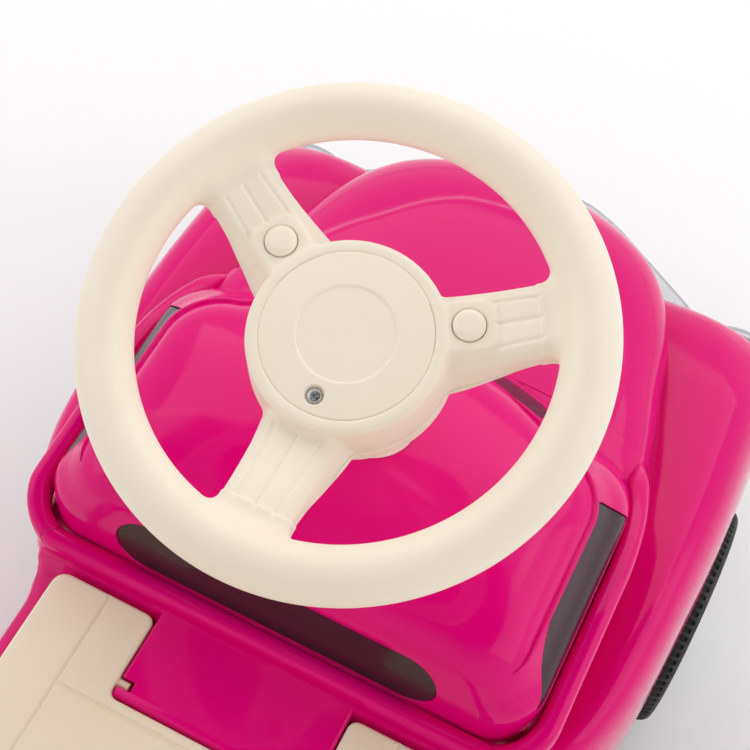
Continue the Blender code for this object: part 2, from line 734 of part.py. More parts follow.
def fender_form(rows, side, inset, drop):
    """Solid of a fender from sections across the car, longer downwards by drop."""
    rings = []
    first, last = rows[0][0], rows[-1][0]
    for y, outer, crown, lower in rows:
        shifted = min(max(y, first + inset), last - inset)
        if rings and shifted - rings[-1][0][1] < 0.001:
            continue
        inner = min(value_at(BODY_WIDTHS, y), outer) - FENDER_INSET - 0.004
        outer, crown = outer - inset, crown - inset
        ring = [(side * inner, shifted, lower - drop)]
        for across, share in FENDER_SECTION:
            ring.append((side * (inner + (outer - inner) * across), shifted,
                         lower + (crown - lower) * share))
        ring.append((side * outer, shifted, lower - drop))
        rings.append(ring)
    return loft(rings)


def make_fender(name, rows, side):
    front = rows is FRONT_FENDER
    shell = fender_form(rows, side, 0.0, 0.0)
    if front:
        pod = moved(along_y(cylinder(HEADLIGHT_RADIUS + 0.001, 0.0, 0.030, 24)),
                    side * HEADLIGHT_X, HEADLIGHT_FACE_Y + 0.030 + GAP, HEADLIGHT_Z)
    else:
        pod = moved(along_y(cylinder(TAIL_RADIUS + 0.001, 0.0, 0.030, 20)),
                    side * TAIL_X, TAIL_FACE_Y - GAP, TAIL_Z)
    join(shell, pod)
    cut(shell, fender_form(rows, side, FENDER_WALL, 0.01))
    cut(shell, grown_body(), roll_form(GAP))
    cut(shell, arch_cutter(side, FENDER_ARCH_RISE) if front else rear_arch_cutter(side))
    return finish(shell, name, "body")


def make_headlight(side_name, side):
    rim = turned([(0.0175, 0.0), (HEADLIGHT_RADIUS, 0.0), (HEADLIGHT_RADIUS + 0.0008, 0.003),
                  (HEADLIGHT_RADIUS - 0.0008, 0.0075), (0.0200, 0.0090), (0.0175, 0.0070)], 20)
    lens = turned([(0.0, 0.0), (0.0172, 0.0), (0.0172, 0.0060), (0.0140, 0.0090), (0.0080, 0.0110),
                   (0.0, 0.0118)], 20)
    for part, name, look in ((rim, "headlight_rim_", "silver"), (lens, "headlight_lens_", "lens")):
        moved(along_y(part), side * HEADLIGHT_X, HEADLIGHT_FACE_Y, HEADLIGHT_Z)
        finish(part, name + side_name, look)


def make_tail_light(side_name, side):
    lens = turned([(0.0, 0.0), (TAIL_RADIUS, 0.0), (TAIL_RADIUS, 0.0040), (0.0110, 0.0070),
                   (0.0, 0.0085)], 20)
    place(along_y(lens), Matrix.Rotation(math.pi, 4, "Z"))
    moved(lens, side * TAIL_X, TAIL_FACE_Y, TAIL_Z)
    finish(lens, "tail_light_" + side_name, "red")


def make_bumper(name, outline, end, heights):
    half = [(x, end * (HALF_LENGTH - behind)) for x, behind in outline]
    ring = half + [(-x, y) for x, y in reversed(half) if x > 0.0]
    low, high = heights
    inner = grown(ring, -BUMPER_EDGE * 0.45)
    rings = []
    for plan, z in ((inner, low), (ring, low + BUMPER_EDGE), (ring, high - BUMPER_EDGE), (inner, high)):
        rings.append([(x, y, z) for x, y in plan])
    finish(cut(loft(rings), grown_body()), name, "silver")


# Seat, bin and backrest


def make_seat_lid():
    low = LID_TOP_Z - LID_SKIRT
    lid = seat_opening(0.0, low, LID_TOP_Z)
    notch = (NOTCH_HALF, LID_FRONT_Y + NOTCH_DEPTH)
    cut(lid, box((-notch[0], LID_FRONT_Y - 0.01, low - 0.01), (notch[0], notch[1], LID_TOP_Z + 0.01)))
    floor = low - 0.01
    roof = LID_TOP_Z - LID_WALL
    wall = LID_WALL
    rear_hollow = box((-LID_HALF + wall, notch[1] + wall, floor),
                      (LID_HALF - wall, LID_REAR_Y - wall, roof))
    cut(lid, rear_hollow)
    for side in (1.0, -1.0):
        ear = box((notch[0] + wall, LID_FRONT_Y + wall, floor),
                  (LID_HALF - wall, notch[1] + wall + 0.001, roof))
        cut(lid, on_side(ear, side))
        pin = along_x(cylinder(HINGE_PIN_RADIUS, notch[0] - HINGE_PIN_LENGTH, notch[0] + wall / 2.0, 12))
        join(lid, moved(on_side(pin, side), y=HINGE_Y, z=HINGE_Z))
    # Shallow joint lines in the seat
    groove = 0.0008
    line = 0.0011
    for side in (1.0, -1.0):
        cut(lid, box((side * 0.065 - line, LID_FRONT_Y - 0.01, LID_TOP_Z - groove),
                     (side * 0.065 + line, LID_REAR_Y - 0.018, LID_TOP_Z + 0.01)))
    cut(lid, box((-0.065, 0.055 - line, LID_TOP_Z - groove), (0.065, 0.055 + line, LID_TOP_Z + 0.01)))
    return finish(lid, "seat_lid", "cream", (0.0, HINGE_Y, HINGE_Z))


def make_bin():
    outer_x = LID_HALF + LID_PLAY + 0.0012 + BIN_WALL
    front, rear = LID_FRONT_Y - LID_PLAY - 0.0002, LID_REAR_Y + LID_PLAY + 0.0012
    body = box((-outer_x, front - BIN_WALL, BIN_BOTTOM_Z), (outer_x, rear + BIN_WALL, BIN_TOP_Z))
    cut(body, box((-outer_x + BIN_WALL, front, BIN_BOTTOM_Z + BIN_WALL),
                  (outer_x - BIN_WALL, rear, BIN_TOP_Z + 0.01)))
    top = LID_TOP_Z - LID_SKIRT - GAP
    for side in (1.0, -1.0):
        for low_x, high_x, low_z, high_z in ((0.0835, outer_x - BIN_WALL / 2.0, 0.1900, 0.1990),
                                             (0.0835, 0.0892, 0.1980, top)):
            join(body, on_side(box((low_x, 0.080, low_z), (high_x, 0.200, high_z)), side))
    return finish(body, "storage_bin", "black")


def make_backrest():
    """A leaning panel with a handle gap near its top."""
    bottom = 0.2073
    outline = [(BACKREST_BOTTOM_HALF, bottom), (BACKREST_BOTTOM_HALF, bottom + 0.050),
               (BACKREST_TOP_HALF, BACKREST_TOP_Z - 0.022),
               (BACKREST_TOP_HALF - 0.008, BACKREST_TOP_Z - 0.008),
               (BACKREST_TOP_HALF - 0.024, BACKREST_TOP_Z)]
    ring = outline + [(-x, z) for x, z in reversed(outline)]
    small = grown(ring, -0.003)
    half = BACKREST_THICKNESS / 2.0
    rings = []
    for plan, y in ((small, -half), (ring, -half + 0.003), (ring, half - 0.003), (small, half)):
        rings.append([(x, y, z - bottom) for x, z in plan])
    panel = loft(rings)
    gap = oval_window(HANDLE_HALF, HANDLE_Z[0] - bottom, HANDLE_Z[1] - bottom, 3)
    cut(panel, loft([[(x, y, z) for x, z in gap] for y in (-0.03, 0.03)]))
    place(panel, Matrix.Rotation(-math.radians(BACKREST_LEAN), 4, "X"))
    moved(panel, y=BACKREST_Y, z=bottom)
    cut(panel, box((-0.2, 0.15, 0.10), (0.2, 0.30, bottom + GAP)))
    return finish(panel, "backrest", "cream")


# Chassis and running gear


def make_chassis():
    outline = TRAY + [(-x, y) for x, y in reversed(TRAY)]
    tray = prism(outline, *TRAY_Z)
    top = TRAY_Z[1] - 0.001
    front, rear = FRONT_WHEEL_Y, REAR_WHEEL_Y
    arm = [(0.066, front - 0.012), (0.1140, front - 0.012), (0.1185, front - 0.007),
           (0.1185, front + 0.007), (0.1140, front + 0.012), (0.066, front + 0.012)]
    for side in (1.0, -1.0):
        join(tray, on_side(prism(arm, *ARM_Z), side))
        join(tray, on_side(box((0.066, front - 0.012, top), (0.084, front + 0.012, ARM_Z[0] + 0.001)), side))
        cut(tray, moved(cylinder(KINGPIN_RADIUS + GAP, 0.05, 0.1, 16), side * KINGPIN_X, front))
        join(tray, on_side(box((0.070, rear - 0.012, top), (0.086, rear + 0.012, AXLE_Z + 0.013)), side))
        sleeve = on_side(along_x(cylinder(0.0095, 0.074, SHOULDER_X, 12)), side)
        join(tray, moved(sleeve, y=rear, z=AXLE_Z))
    cut(tray, moved(along_x(cylinder(AXLE_RADIUS + GAP, -0.16, 0.16, 16)), y=rear, z=AXLE_Z))
    # Bracket that holds the lower bush of the column
    behind, shelf = CRANK_Y - 0.0236, CRANK_HEIGHT + 0.0119
    join(tray, join(box((-0.016, behind, top), (0.016, behind + 0.012, shelf + 0.008)),
                    box((-0.016, behind, shelf), (0.016, behind + 0.044, shelf + 0.008))))
    cut(tray, place(cylinder(BUSH_RADIUS + GAP, CRANK_Z - 0.02, CRANK_Z + 0.05, 20), steering_matrix()))
    seat = BUSH_TOP - BUSH_FLANGE - GAP
    cut(tray, place(cylinder(BUSH_FLANGE_RADIUS + GAP, seat, CRANK_Z + 0.05, 20), steering_matrix()))
    roof = TRAY_Z[0]
    for half, start, end, under in TIP_FOOT:
        join(tray, box((-half, start, under), (half, end, roof + 0.001)))
        roof = under
    return finish(tray, "chassis", "black")


SHOULDER_X = TYRE_OUTER_X - TYRE_WIDTH - SHOULDER_GAP
HUB_FACE = -0.0120
AXLE_END_X = TYRE_OUTER_X - 0.0062


def make_wheel(end, side_name, y, side):
    """Tyre, wheel and push-on hubcap, made about Z with the outer face up, then turned to X."""
    inner, bore = -TYRE_WIDTH, AXLE_RADIUS + GAP
    seat = RIM_RADIUS - GAP
    # The tyre stands on one of its flat faces, so its corners lie a little further out
    half_step = math.pi / TYRE_FACES
    radius = TYRE_RADIUS / math.cos(half_step)
    opening = RIM_RADIUS / math.cos(half_step)
    tyre = turned([(opening, inner + 0.0020), (radius - 0.0060, inner), (radius, inner + 0.0060),
                   (radius, -0.0060), (radius - 0.0060, 0.0), (opening, -0.0020)], TYRE_FACES)
    place(tyre, Matrix.Rotation(half_step, 4, "Z"))
    wheel = turned([(bore, inner + 0.0005), (HUB_RADIUS, inner + 0.0005), (HUB_RADIUS, -0.0180),
                    (RIM_RADIUS - 0.0045, -0.0180), (RIM_RADIUS - 0.0035, inner + 0.0030),
                    (seat, inner + 0.0030), (seat, -0.0030), (HUBCAP_RADIUS + 0.0045, HUB_FACE),
                    (bore, HUB_FACE)], 18)
    low, roof = HUB_FACE + GAP, AXLE_END_X - TYRE_OUTER_X + GAP
    cap = turned([(0.0, roof), (bore, roof), (bore, low), (0.0080, low), (0.0080, -0.0040),
                  (HUBCAP_RADIUS - 0.0025, -0.0100), (HUBCAP_RADIUS, -0.0095), (0.0190, -0.0014),
                  (0.0, 0.0010)], 16)
    turn = Matrix.Rotation(math.radians(90.0) * side, 4, "Y")
    where = Matrix.Translation((side * TYRE_OUTER_X, y, AXLE_Z)) @ turn
    centre = (side * (TYRE_OUTER_X - TYRE_WIDTH / 2.0), y, AXLE_Z)
    for part, name, look in ((tyre, "tyre", "rubber"), (wheel, "wheel", "silver")):
        finish(place(part, where), f"{name}_{end}_{side_name}", look, centre)
    pivot = (side * KINGPIN_X, y, AXLE_Z) if end == "front" else centre
    finish(place(cap, where), f"hubcap_{end}_{side_name}", "silver", pivot)


def make_rear_axle():
    axle = moved(along_x(cylinder(AXLE_RADIUS, -AXLE_END_X, AXLE_END_X, 16)), y=REAR_WHEEL_Y, z=AXLE_Z)
    return finish(axle, "rear_axle", "steel")


def make_knuckle(side_name, side):
    """Upright block with a snap-in kingpin, a stub axle and the slotted arm that the tie rod moves."""
    x, y, low = KINGPIN_X, FRONT_WHEEL_Y, KNUCKLE_Z[0]
    block = box((x - 0.007, y - 0.009, low), (SHOULDER_X, y + 0.009, KNUCKLE_Z[1]))
    arm = [(x - 0.007, y), (x + 0.007, y), (x + 0.007, TIE_Y + 0.006), (x + 0.004, TIE_Y + 0.010),
           (x - 0.004, TIE_Y + 0.010), (x - 0.007, TIE_Y + 0.006)]
    join(block, prism(arm, low + 0.0003, TIE_Z[0] - GAP))
    stub = along_x(cylinder(AXLE_RADIUS, SHOULDER_X - 0.010, AXLE_END_X, 12))
    join(block, moved(stub, y=y, z=AXLE_Z))
    start, head = KNUCKLE_Z[1] - 0.010, ARM_Z[1] + GAP
    kingpin = turned([(0.0, start), (KINGPIN_RADIUS, start), (KINGPIN_RADIUS, head),
                      (KINGPIN_RADIUS + 0.0014, head), (KINGPIN_RADIUS - 0.0006, head + 0.0050),
                      (0.0, head + 0.0050)], 12)
    join(block, moved(kingpin, x, y))
    half = TIE_PIN_RADIUS + SLOT_PLAY
    slot = rounded_rectangle(x - half, x + half, TIE_Y - 0.0036, TIE_Y + 0.0066, 0.0030, 3)
    cut(block, prism(slot, low - 0.01, TIE_Z[0] + 0.01))
    finish(on_side(block, side), "knuckle_" + side_name, "steel", (side * x, y, AXLE_Z))


def make_tie_rod():
    end = KINGPIN_X + 0.006
    bar = [(end, TIE_Y - 0.003), (end, TIE_Y + 0.003), (end - 0.003, TIE_Y + TIE_HALF_WIDTH),
           (0.024, TIE_Y + TIE_HALF_WIDTH), (0.014, CRANK_PIN_Y + 0.0110)]
    front = [(end - 0.003, TIE_Y - TIE_HALF_WIDTH)]
    outline = bar + [(-x, y) for x, y in reversed(bar)] + [(-x, y) for x, y in front] + front
    rod = prism(outline, *TIE_Z)
    for side in (1.0, -1.0):
        pin = cylinder(TIE_PIN_RADIUS, KNUCKLE_Z[0] - 0.001, TIE_Z[0] + 0.001, 12)
        join(rod, moved(pin, side * KINGPIN_X, TIE_Y))
    half = CRANK_PIN_RADIUS + SLOT_PLAY
    slot = rounded_rectangle(-half, half, CRANK_PIN_Y - 0.0095, CRANK_PIN_Y + 0.0055, 0.0030, 3)
    cut(rod, prism(slot, 0.05, 0.08))
    return finish(rod, "tie_rod", "black")


# Steering wheel


def spoke_frame(angle):
    """Turn about the wheel's axis so that +Y points along a spoke; 0 is up, away from the driver."""
    return Matrix.Rotation(math.radians(180.0 - angle), 4, "Z")


def spoke_form(inset, top, bottom):
    rings = []
    for reach, half in ((0.020, SPOKE_HALF_HUB), (WHEEL_RING_RADIUS - 0.003, SPOKE_HALF_RIM)):
        half -= inset
        rings.append([(-half, reach, bottom), (half, reach, bottom),
                      (half, reach, top), (-half, reach, top)])
    return loft(rings)


def ring_form(tube, segments, sides):
    profile = []
    for step in range(sides):
        angle = 2.0 * math.pi * (step + 0.5) / sides
        profile.append((WHEEL_RING_RADIUS + tube * math.cos(angle), tube * math.sin(angle)))
    return turned(profile, segments)


def wheel_shell():
    """The whole steering wheel as one hollow form, before it is split into two shells."""
    solid = ring_form(WHEEL_TUBE_RADIUS, 32, 8)
    for angle in SPOKE_ANGLES:
        join(solid, place(spoke_form(0.0, SPOKE_TOP_Z, SPOKE_BOTTOM_Z), spoke_frame(angle)))
    radius = HUB_SHELL_RADIUS
    hub = turned([(0.0, HUB_BOTTOM_Z), (radius - 0.006, HUB_BOTTOM_Z), (radius - 0.0015, HUB_BOTTOM_Z + 0.006),
                  (radius, HUB_TOP_Z - 0.002), (radius - 0.0018, HUB_TOP_Z), (0.0, HUB_TOP_Z)], 32)
    join(solid, hub)
    hollow = ring_form(WHEEL_TUBE_RADIUS - WHEEL_SHELL, 24, 4)
    for angle in SPOKE_ANGLES:
        join(hollow, place(spoke_form(WHEEL_SHELL, SPOKE_TOP_Z - WHEEL_SHELL, SPOKE_BOTTOM_Z + WHEEL_SHELL),
                           spoke_frame(angle)))
    inside = radius - 0.0032
    join(hollow, turned([(0.0, HUB_BOTTOM_Z + WHEEL_SHELL), (inside - 0.005, HUB_BOTTOM_Z + WHEEL_SHELL),
                         (inside, HUB_BOTTOM_Z + 0.008), (inside, HUB_TOP_Z - COVER_THICKNESS - 0.0020),
                         (0.0, HUB_TOP_Z - COVER_THICKNESS - 0.0020)], 32))
    join(hollow, cylinder(COVER_RADIUS - 0.0015, -0.02, 0.05, 28))
    return cut(solid, hollow)


def make_steering_wheel():
    big = 0.3
    upper = wheel_shell()
    lower = wheel_shell()
    cut(upper, box((-big, -big, -big), (big, big, SPLIT_Z + SEAM / 2.0)))
    cut(lower, box((-big, -big, SPLIT_Z - SEAM / 2.0), (big, big, big)))
    # The upper shell rings the cover, which sits on the lower shell
    cut(upper, cylinder(COVER_RADIUS + GAP, -0.02, 0.05, 28))
    for angle in (60.0, 300.0):
        where = spoke_frame(angle) @ Matrix.Translation((0.0, BUTTON_DISTANCE, 0.0))
        cut(upper, place(cylinder(BUTTON_RADIUS + GAP, -0.003, 0.02, 20), where))
    start = HUB_BOTTOM_Z
    neck = turned([(0.0, start + 0.001), (0.0190, start + 0.001), (0.0160, start - 0.006),
                   (NECK_RADIUS, start - 0.012), (NECK_RADIUS, NECK_BOTTOM_Z), (0.0, NECK_BOTTOM_Z)], 24)
    join(lower, neck)
    cut(lower, cylinder(COLUMN_RADIUS + GAP, NECK_BOTTOM_Z - 0.01, HUB_BOTTOM_Z - 0.010, 16))
    for angle in SPOKE_ANGLES:
        where = spoke_frame(angle) @ Matrix.Translation((0.0, SHELL_SCREW_DISTANCE, 0.0))
        boss = cylinder(0.0034, SPLIT_Z - 0.0030, SPOKE_TOP_Z - 0.0010, 12)
        join(upper, place(boss, where))
        cut(upper, place(cylinder(0.0013, SPLIT_Z - 0.01, SPOKE_TOP_Z - 0.0020, 8), where))
        cut(lower, place(cylinder(0.0017, -0.02, SPLIT_Z, 8), where))
    to_car = steering_matrix()
    finish(place(upper, to_car), "steering_wheel_upper", "cream", WHEEL_CENTRE)
    finish(place(lower, to_car), "steering_wheel_lower", "cream", WHEEL_CENTRE)


SHELL_SCREW_DISTANCE = 0.0590


def make_shell_screws():
    """Screws that go up through the lower shell into the upper shell's bosses."""
    head = SPOKE_BOTTOM_Z - GAP
    for number, angle in enumerate(SPOKE_ANGLES, 1):
        screw = turned([(0.0, head - 0.0018), (0.0026, head - 0.0018), (0.0031, head), (0.0010, head),
                        (0.0010, SPLIT_Z + 0.0010), (0.0, SPLIT_Z + 0.0010)], 10)
        where = spoke_frame(angle) @ Matrix.Translation((0.0, SHELL_SCREW_DISTANCE, 0.0))
        finish(place(screw, steering_matrix() @ where), f"shell_screw_{number}", "steel", WHEEL_CENTRE)


def make_cover():
    top = HUB_TOP_Z
    under = top - COVER_THICKNESS
    cover = turned([(0.0, under), (COVER_RADIUS, under), (COVER_RADIUS, top - 0.0004),
                    (COVER_RADIUS - 0.0008, top), (0.0180, top + 0.0006), (0.0172, top + 0.0002),
                    (0.0, top + 0.0006)], 28)
    cut(cover, moved(cylinder(0.0033, top - 0.0012, 0.02, 16), y=SCREW_DISTANCE))
    cut(cover, moved(cylinder(0.0016, -0.02, 0.02, 12), y=SCREW_DISTANCE))
    finish(place(cover, steering_matrix()), "battery_cover", "cream", WHEEL_CENTRE)
    seat = top - 0.0012 + GAP
    screw = turned([(0.0, -0.0125), (0.0012, -0.0120), (0.0012, seat), (0.0029, seat),
                    (0.0026, seat + 0.0012), (0.0, seat + 0.0014)], 16)
    for turn in (0.0, 90.0):
        cross = box((-0.0019, -0.0004, seat + 0.0004), (0.0019, 0.0004, 0.01))
        cut(screw, place(cross, Matrix.Rotation(math.radians(turn + 20.0), 4, "Z")))
    moved(screw, y=SCREW_DISTANCE)
    finish(place(screw, steering_matrix()), "cover_screw", "steel", WHEEL_CENTRE)


TRAY_RIM_TOP = HUB_TOP_Z - COVER_THICKNESS - GAP
CELL_RADIUS = 0.00525
CELL_LENGTH = 0.0445
CELL_Z = TRAY_RIM_TOP - 0.0070


def make_electrics():
    """Battery tray, cells, contacts, board and sounder inside the hub."""
    to_car = steering_matrix()
    tray = cylinder(COVER_RADIUS - 0.0020, TRAY_RIM_TOP - 0.0145, TRAY_RIM_TOP - GAP, 24)
    reach = CELL_LENGTH / 2.0 + 0.0012
    cut(tray, box((-reach, -0.0118, CELL_Z - CELL_RADIUS - GAP), (reach, 0.0118, 0.01)))
    cut(tray, moved(cylinder(0.0015, -0.016, 0.01, 8), y=SCREW_DISTANCE))
    finish(place(tray, to_car), "battery_tray", "black", WHEEL_CENTRE)
    for name, y in (("cell_front", -0.0058), ("cell_rear", 0.0058)):
        end = CELL_LENGTH / 2.0
        cell = turned([(0.0, -end), (CELL_RADIUS, -end), (CELL_RADIUS, end - 0.0012), (0.0018, end - 0.0012),
                       (0.0018, end), (0.0, end)], 14)
        finish(place(moved(along_x(cell), y=y, z=CELL_Z), to_car), name, "cell", WHEEL_CENTRE)
    for name, side in (("battery_contact_left", 1.0), ("battery_contact_right", -1.0)):
        contact = box((CELL_LENGTH / 2.0 + GAP, -0.0100, CELL_Z - 0.0045),
                      (CELL_LENGTH / 2.0 + 0.0008, 0.0100, CELL_Z + 0.0045))
        finish(place(on_side(contact, side), to_car), name, "steel", WHEEL_CENTRE)
    board_top = TRAY_RIM_TOP - 0.0145 - GAP
    board = box((-0.022, -0.016, board_top - 0.0014), (0.022, 0.016, board_top))
    finish(place(board, to_car), "sound_board", "board", WHEEL_CENTRE)
    sounder_top = board_top - 0.0014 - GAP
    sounder = turned([(0.0, HUB_BOTTOM_Z + WHEEL_SHELL + GAP), (0.0125, HUB_BOTTOM_Z + WHEEL_SHELL + GAP),
                      (0.0140, sounder_top - 0.0020), (0.0140, sounder_top), (0.0, sounder_top)], 20)
    finish(place(sounder, to_car), "sounder", "black", WHEEL_CENTRE)


def make_button(side_name, angle):
    """Push button with its flange under the spoke's wall, and the spring that returns it."""
    to_car = steering_matrix()
    wall_under = SPOKE_TOP_Z - WHEEL_SHELL
    flange_top = wall_under - GAP
    profile = [(0.0, flange_top - 0.0028), (0.0022, flange_top - 0.0028), (0.0022, flange_top - 0.0012),
               (BUTTON_RADIUS + 0.0012, flange_top - 0.0012), (BUTTON_RADIUS + 0.0012, flange_top),
               (BUTTON_RADIUS, flange_top), (BUTTON_RADIUS, SPOKE_TOP_Z + 0.0008),
               (BUTTON_RADIUS - 0.0012, SPOKE_TOP_Z + 0.0018), (BUTTON_RADIUS * 0.45, SPOKE_TOP_Z + 0.0025),
               (0.0, SPOKE_TOP_Z + 0.0027)]
    where = spoke_frame(angle) @ Matrix.Translation((0.0, BUTTON_DISTANCE, 0.0))
    origin = to_car @ where @ Vector((0.0, 0.0, SPOKE_TOP_Z))
    finish(place(turned(profile, 14), to_car @ where), "button_" + side_name, "cream", origin)
    floor = SPOKE_BOTTOM_Z + WHEEL_SHELL
    low, high = floor + 0.0007, flange_top - 0.0012 - 0.0006
    turns, steps, radius, wire = 3, 8, 0.0036, 0.0003
    rings = []
    for step in range(turns * steps + 1):
        angle_here = 2.0 * math.pi * step / steps
        height = low + (high - low) * step / (turns * steps)
        middle = Vector((radius * math.cos(angle_here), radius * math.sin(angle_here), height))
        outward = Vector((math.cos(angle_here), math.sin(angle_here), 0.0))
        rings.append([middle + outward * wire * math.cos(a) + Vector((0.0, 0.0, wire * math.sin(a)))
                      for a in (0.0, math.pi / 2.0, math.pi, 3.0 * math.pi / 2.0)])
    finish(place(loft(rings), to_car @ where), "button_spring_" + side_name, "steel", origin)


def make_column():
    """Steel rod with its collar, its crank and the crank's pin, made in the wheel's frame."""
    rod = cylinder(COLUMN_RADIUS, CRANK_Z - 0.004, HUB_BOTTOM_Z - 0.0105, 16)
    join(rod, cylinder(0.0085, COLUMN_SHOULDER_Z, COLUMN_SHOULDER_Z + 0.0020, 16))
    crank = []
    for start, radius, reach in ((180, 0.0070, 0.0), (0, 0.0048, CRANK_RADIUS)):
        for step in range(7):
            angle = math.radians(start + 30.0 * step)
            crank.append((radius * math.cos(angle), reach + radius * math.sin(angle)))
    join(rod, prism(crank, CRANK_Z - 0.003, CRANK_Z + 0.003))
    pin = cylinder(CRANK_PIN_RADIUS, CRANK_Z - CRANK_PIN_LENGTH, CRANK_Z + 0.001, 12)
    join(rod, moved(pin, y=CRANK_RADIUS))
    finish(place(rod, steering_matrix()), "steering_column", "steel", WHEEL_CENTRE)


def make_column_bearings():
    to_car = steering_matrix()
    top = ROOF_Z + 0.0076
    collar = place(cylinder(0.0205, NECK_BOTTOM_Z - 0.002, top, 24), to_car)
    cut(collar, cab_form(-GAP, foot=CAB_HOLLOW_FOOT_Z))
    tube = place(cylinder(0.0160, NECK_BOTTOM_Z - 0.004, top - 0.0005, 20), to_car)
    join(collar, tube)
    cut(collar, place(cylinder(NECK_RADIUS + 2.0 * GAP, ROOF_Z - 0.1, ROOF_Z + 0.1, 24), to_car))
    finish(collar, "column_collar", "cream")
    bore, under = COLUMN_RADIUS + GAP, BUSH_TOP - BUSH_FLANGE
    bush = turned([(bore, BUSH_TOP - 0.0150), (BUSH_RADIUS, BUSH_TOP - 0.0150), (BUSH_RADIUS, under),
                   (BUSH_FLANGE_RADIUS, under), (BUSH_FLANGE_RADIUS, BUSH_TOP), (bore, BUSH_TOP)], 20)
    finish(place(bush, to_car), "column_bush", "black")


def build():
    clear_scene()
    make_hood()
    make_main_body()
    make_cab()
    make_windows()
    for side_name, side in (("left", 1.0), ("right", -1.0)):
        make_fender("front_fender_" + side_name, FRONT_FENDER, side)
        make_fender("rear_fender_" + side_name, REAR_FENDER, side)
        make_headlight(side_name, side)
        make_tail_light(side_name, side)
        make_wheel("front", side_name, FRONT_WHEEL_Y, side)
        make_wheel("rear", side_name, REAR_WHEEL_Y, side)
        make_knuckle(side_name, side)
        make_button(side_name, 300.0 if side > 0.0 else 60.0)
    make_bumper("front_bumper", FRONT_BUMPER, -1.0, FRONT_BUMPER_Z)
    make_bumper("rear_bumper", REAR_BUMPER, 1.0, REAR_BUMPER_Z)
    make_seat_lid()
    make_bin()
    make_backrest()
    make_chassis()
    make_rear_axle()
    make_tie_rod()
    make_steering_wheel()
    make_shell_screws()
    make_cover()
    make_electrics()
    make_column()
    make_column_bearings()


build()
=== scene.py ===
"""Looks of the push car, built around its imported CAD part.

The front faces -Y, the driver's left is +X and +Z is up, in metres. Each visible moulding is made again
here with fine sections and stands for its CAD piece. The hidden pieces keep their CAD shapes.
"""

import math
from functools import reduce

import bmesh
import bpy
import numpy as np
import openvdb
from mathutils import Matrix, Vector


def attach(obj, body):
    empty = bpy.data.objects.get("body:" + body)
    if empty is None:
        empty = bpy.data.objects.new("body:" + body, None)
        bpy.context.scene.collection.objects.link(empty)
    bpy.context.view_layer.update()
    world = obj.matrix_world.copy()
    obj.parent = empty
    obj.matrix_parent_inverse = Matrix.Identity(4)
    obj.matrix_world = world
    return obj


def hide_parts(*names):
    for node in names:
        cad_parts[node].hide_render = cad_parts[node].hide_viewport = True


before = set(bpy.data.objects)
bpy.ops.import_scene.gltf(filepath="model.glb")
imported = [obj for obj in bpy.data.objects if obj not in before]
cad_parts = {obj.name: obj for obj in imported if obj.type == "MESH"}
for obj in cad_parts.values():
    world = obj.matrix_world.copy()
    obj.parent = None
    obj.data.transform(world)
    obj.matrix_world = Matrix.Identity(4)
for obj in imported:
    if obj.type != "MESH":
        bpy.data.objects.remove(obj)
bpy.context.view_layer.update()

# Gaps between neighbouring pieces
GAP = 0.0003
SEAM = 0.0003
# How far a cutter reaches past the form that it hollows
CUT_PAST = 0.01
# Share of a line that the rounding of one corner may use, and of a step that two rings have to be apart
CORNER_SHARE = 0.48
LEAST_STEP = 0.3

# Body shell: (y, value)
WALL = 0.0026
HOOD_REAR_Y = -0.152
BODY_BOTTOM_Z = 0.048
BODY_WIDTHS = [
    (-0.303, 0.015), (-0.300, 0.028), (-0.294, 0.040), (-0.283, 0.055), (-0.266, 0.074),
    (-0.243, 0.090), (-0.220, 0.101), (-0.190, 0.110), (-0.158, 0.116), (-0.124, 0.120),
    (-0.090, 0.124), (-0.045, 0.124), (-0.020, 0.120), (0.000, 0.112), (0.014, 0.104),
    (0.030, 0.100), (0.120, 0.100), (0.216, 0.100), (0.250, 0.098), (0.275, 0.089),
    (0.294, 0.071), (0.304, 0.048), (0.308, 0.032),
]
BODY_CROWNS = [
    (-0.303, 0.152), (-0.300, 0.162), (-0.294, 0.176), (-0.283, 0.192), (-0.266, 0.205),
    (-0.243, 0.213), (-0.220, 0.217), (-0.190, 0.220), (-0.152, 0.222), (-0.100, 0.222),
    (-0.030, 0.2195), (0.000, 0.2190), (0.006, 0.2148), (0.0128, 0.2146), (0.0138, 0.2046),
    (0.030, 0.2032),
    (0.216, 0.2032), (0.224, 0.207), (0.244, 0.207), (0.262, 0.199), (0.280, 0.185),
    (0.294, 0.165), (0.304, 0.143), (0.308, 0.128),
]
BODY_EDGES = [
    (-0.303, 0.146), (-0.283, 0.164), (-0.266, 0.171), (-0.243, 0.177), (-0.220, 0.181),
    (-0.190, 0.187), (-0.158, 0.194), (-0.124, 0.199), (0.000, 0.194), (0.030, 0.194),
    (0.216, 0.194), (0.250, 0.176), (0.275, 0.154), (0.294, 0.130), (0.308, 0.108),
]
BODY_SLOPES = [
    (-0.262, 0.0006), (-0.226, 0.0060), (-0.190, 0.0100), (-0.050, 0.0100), (0.000, 0.0030),
    (0.020, 0.0006),
]
SLOPE_STEEPNESS = 1.6
BODY_SQUARENESS = [
    (-0.303, 2.3), (-0.200, 2.7), (-0.152, 3.2), (-0.120, 5.0), (-0.010, 6.0),
    (0.020, 7.0), (0.216, 7.0), (0.250, 4.0), (0.308, 2.5),
]
LEAST_CROWN = 0.004
BODY_STEP = 0.0024
TOP_STEPS = 46
TOP_SAMPLES = 240

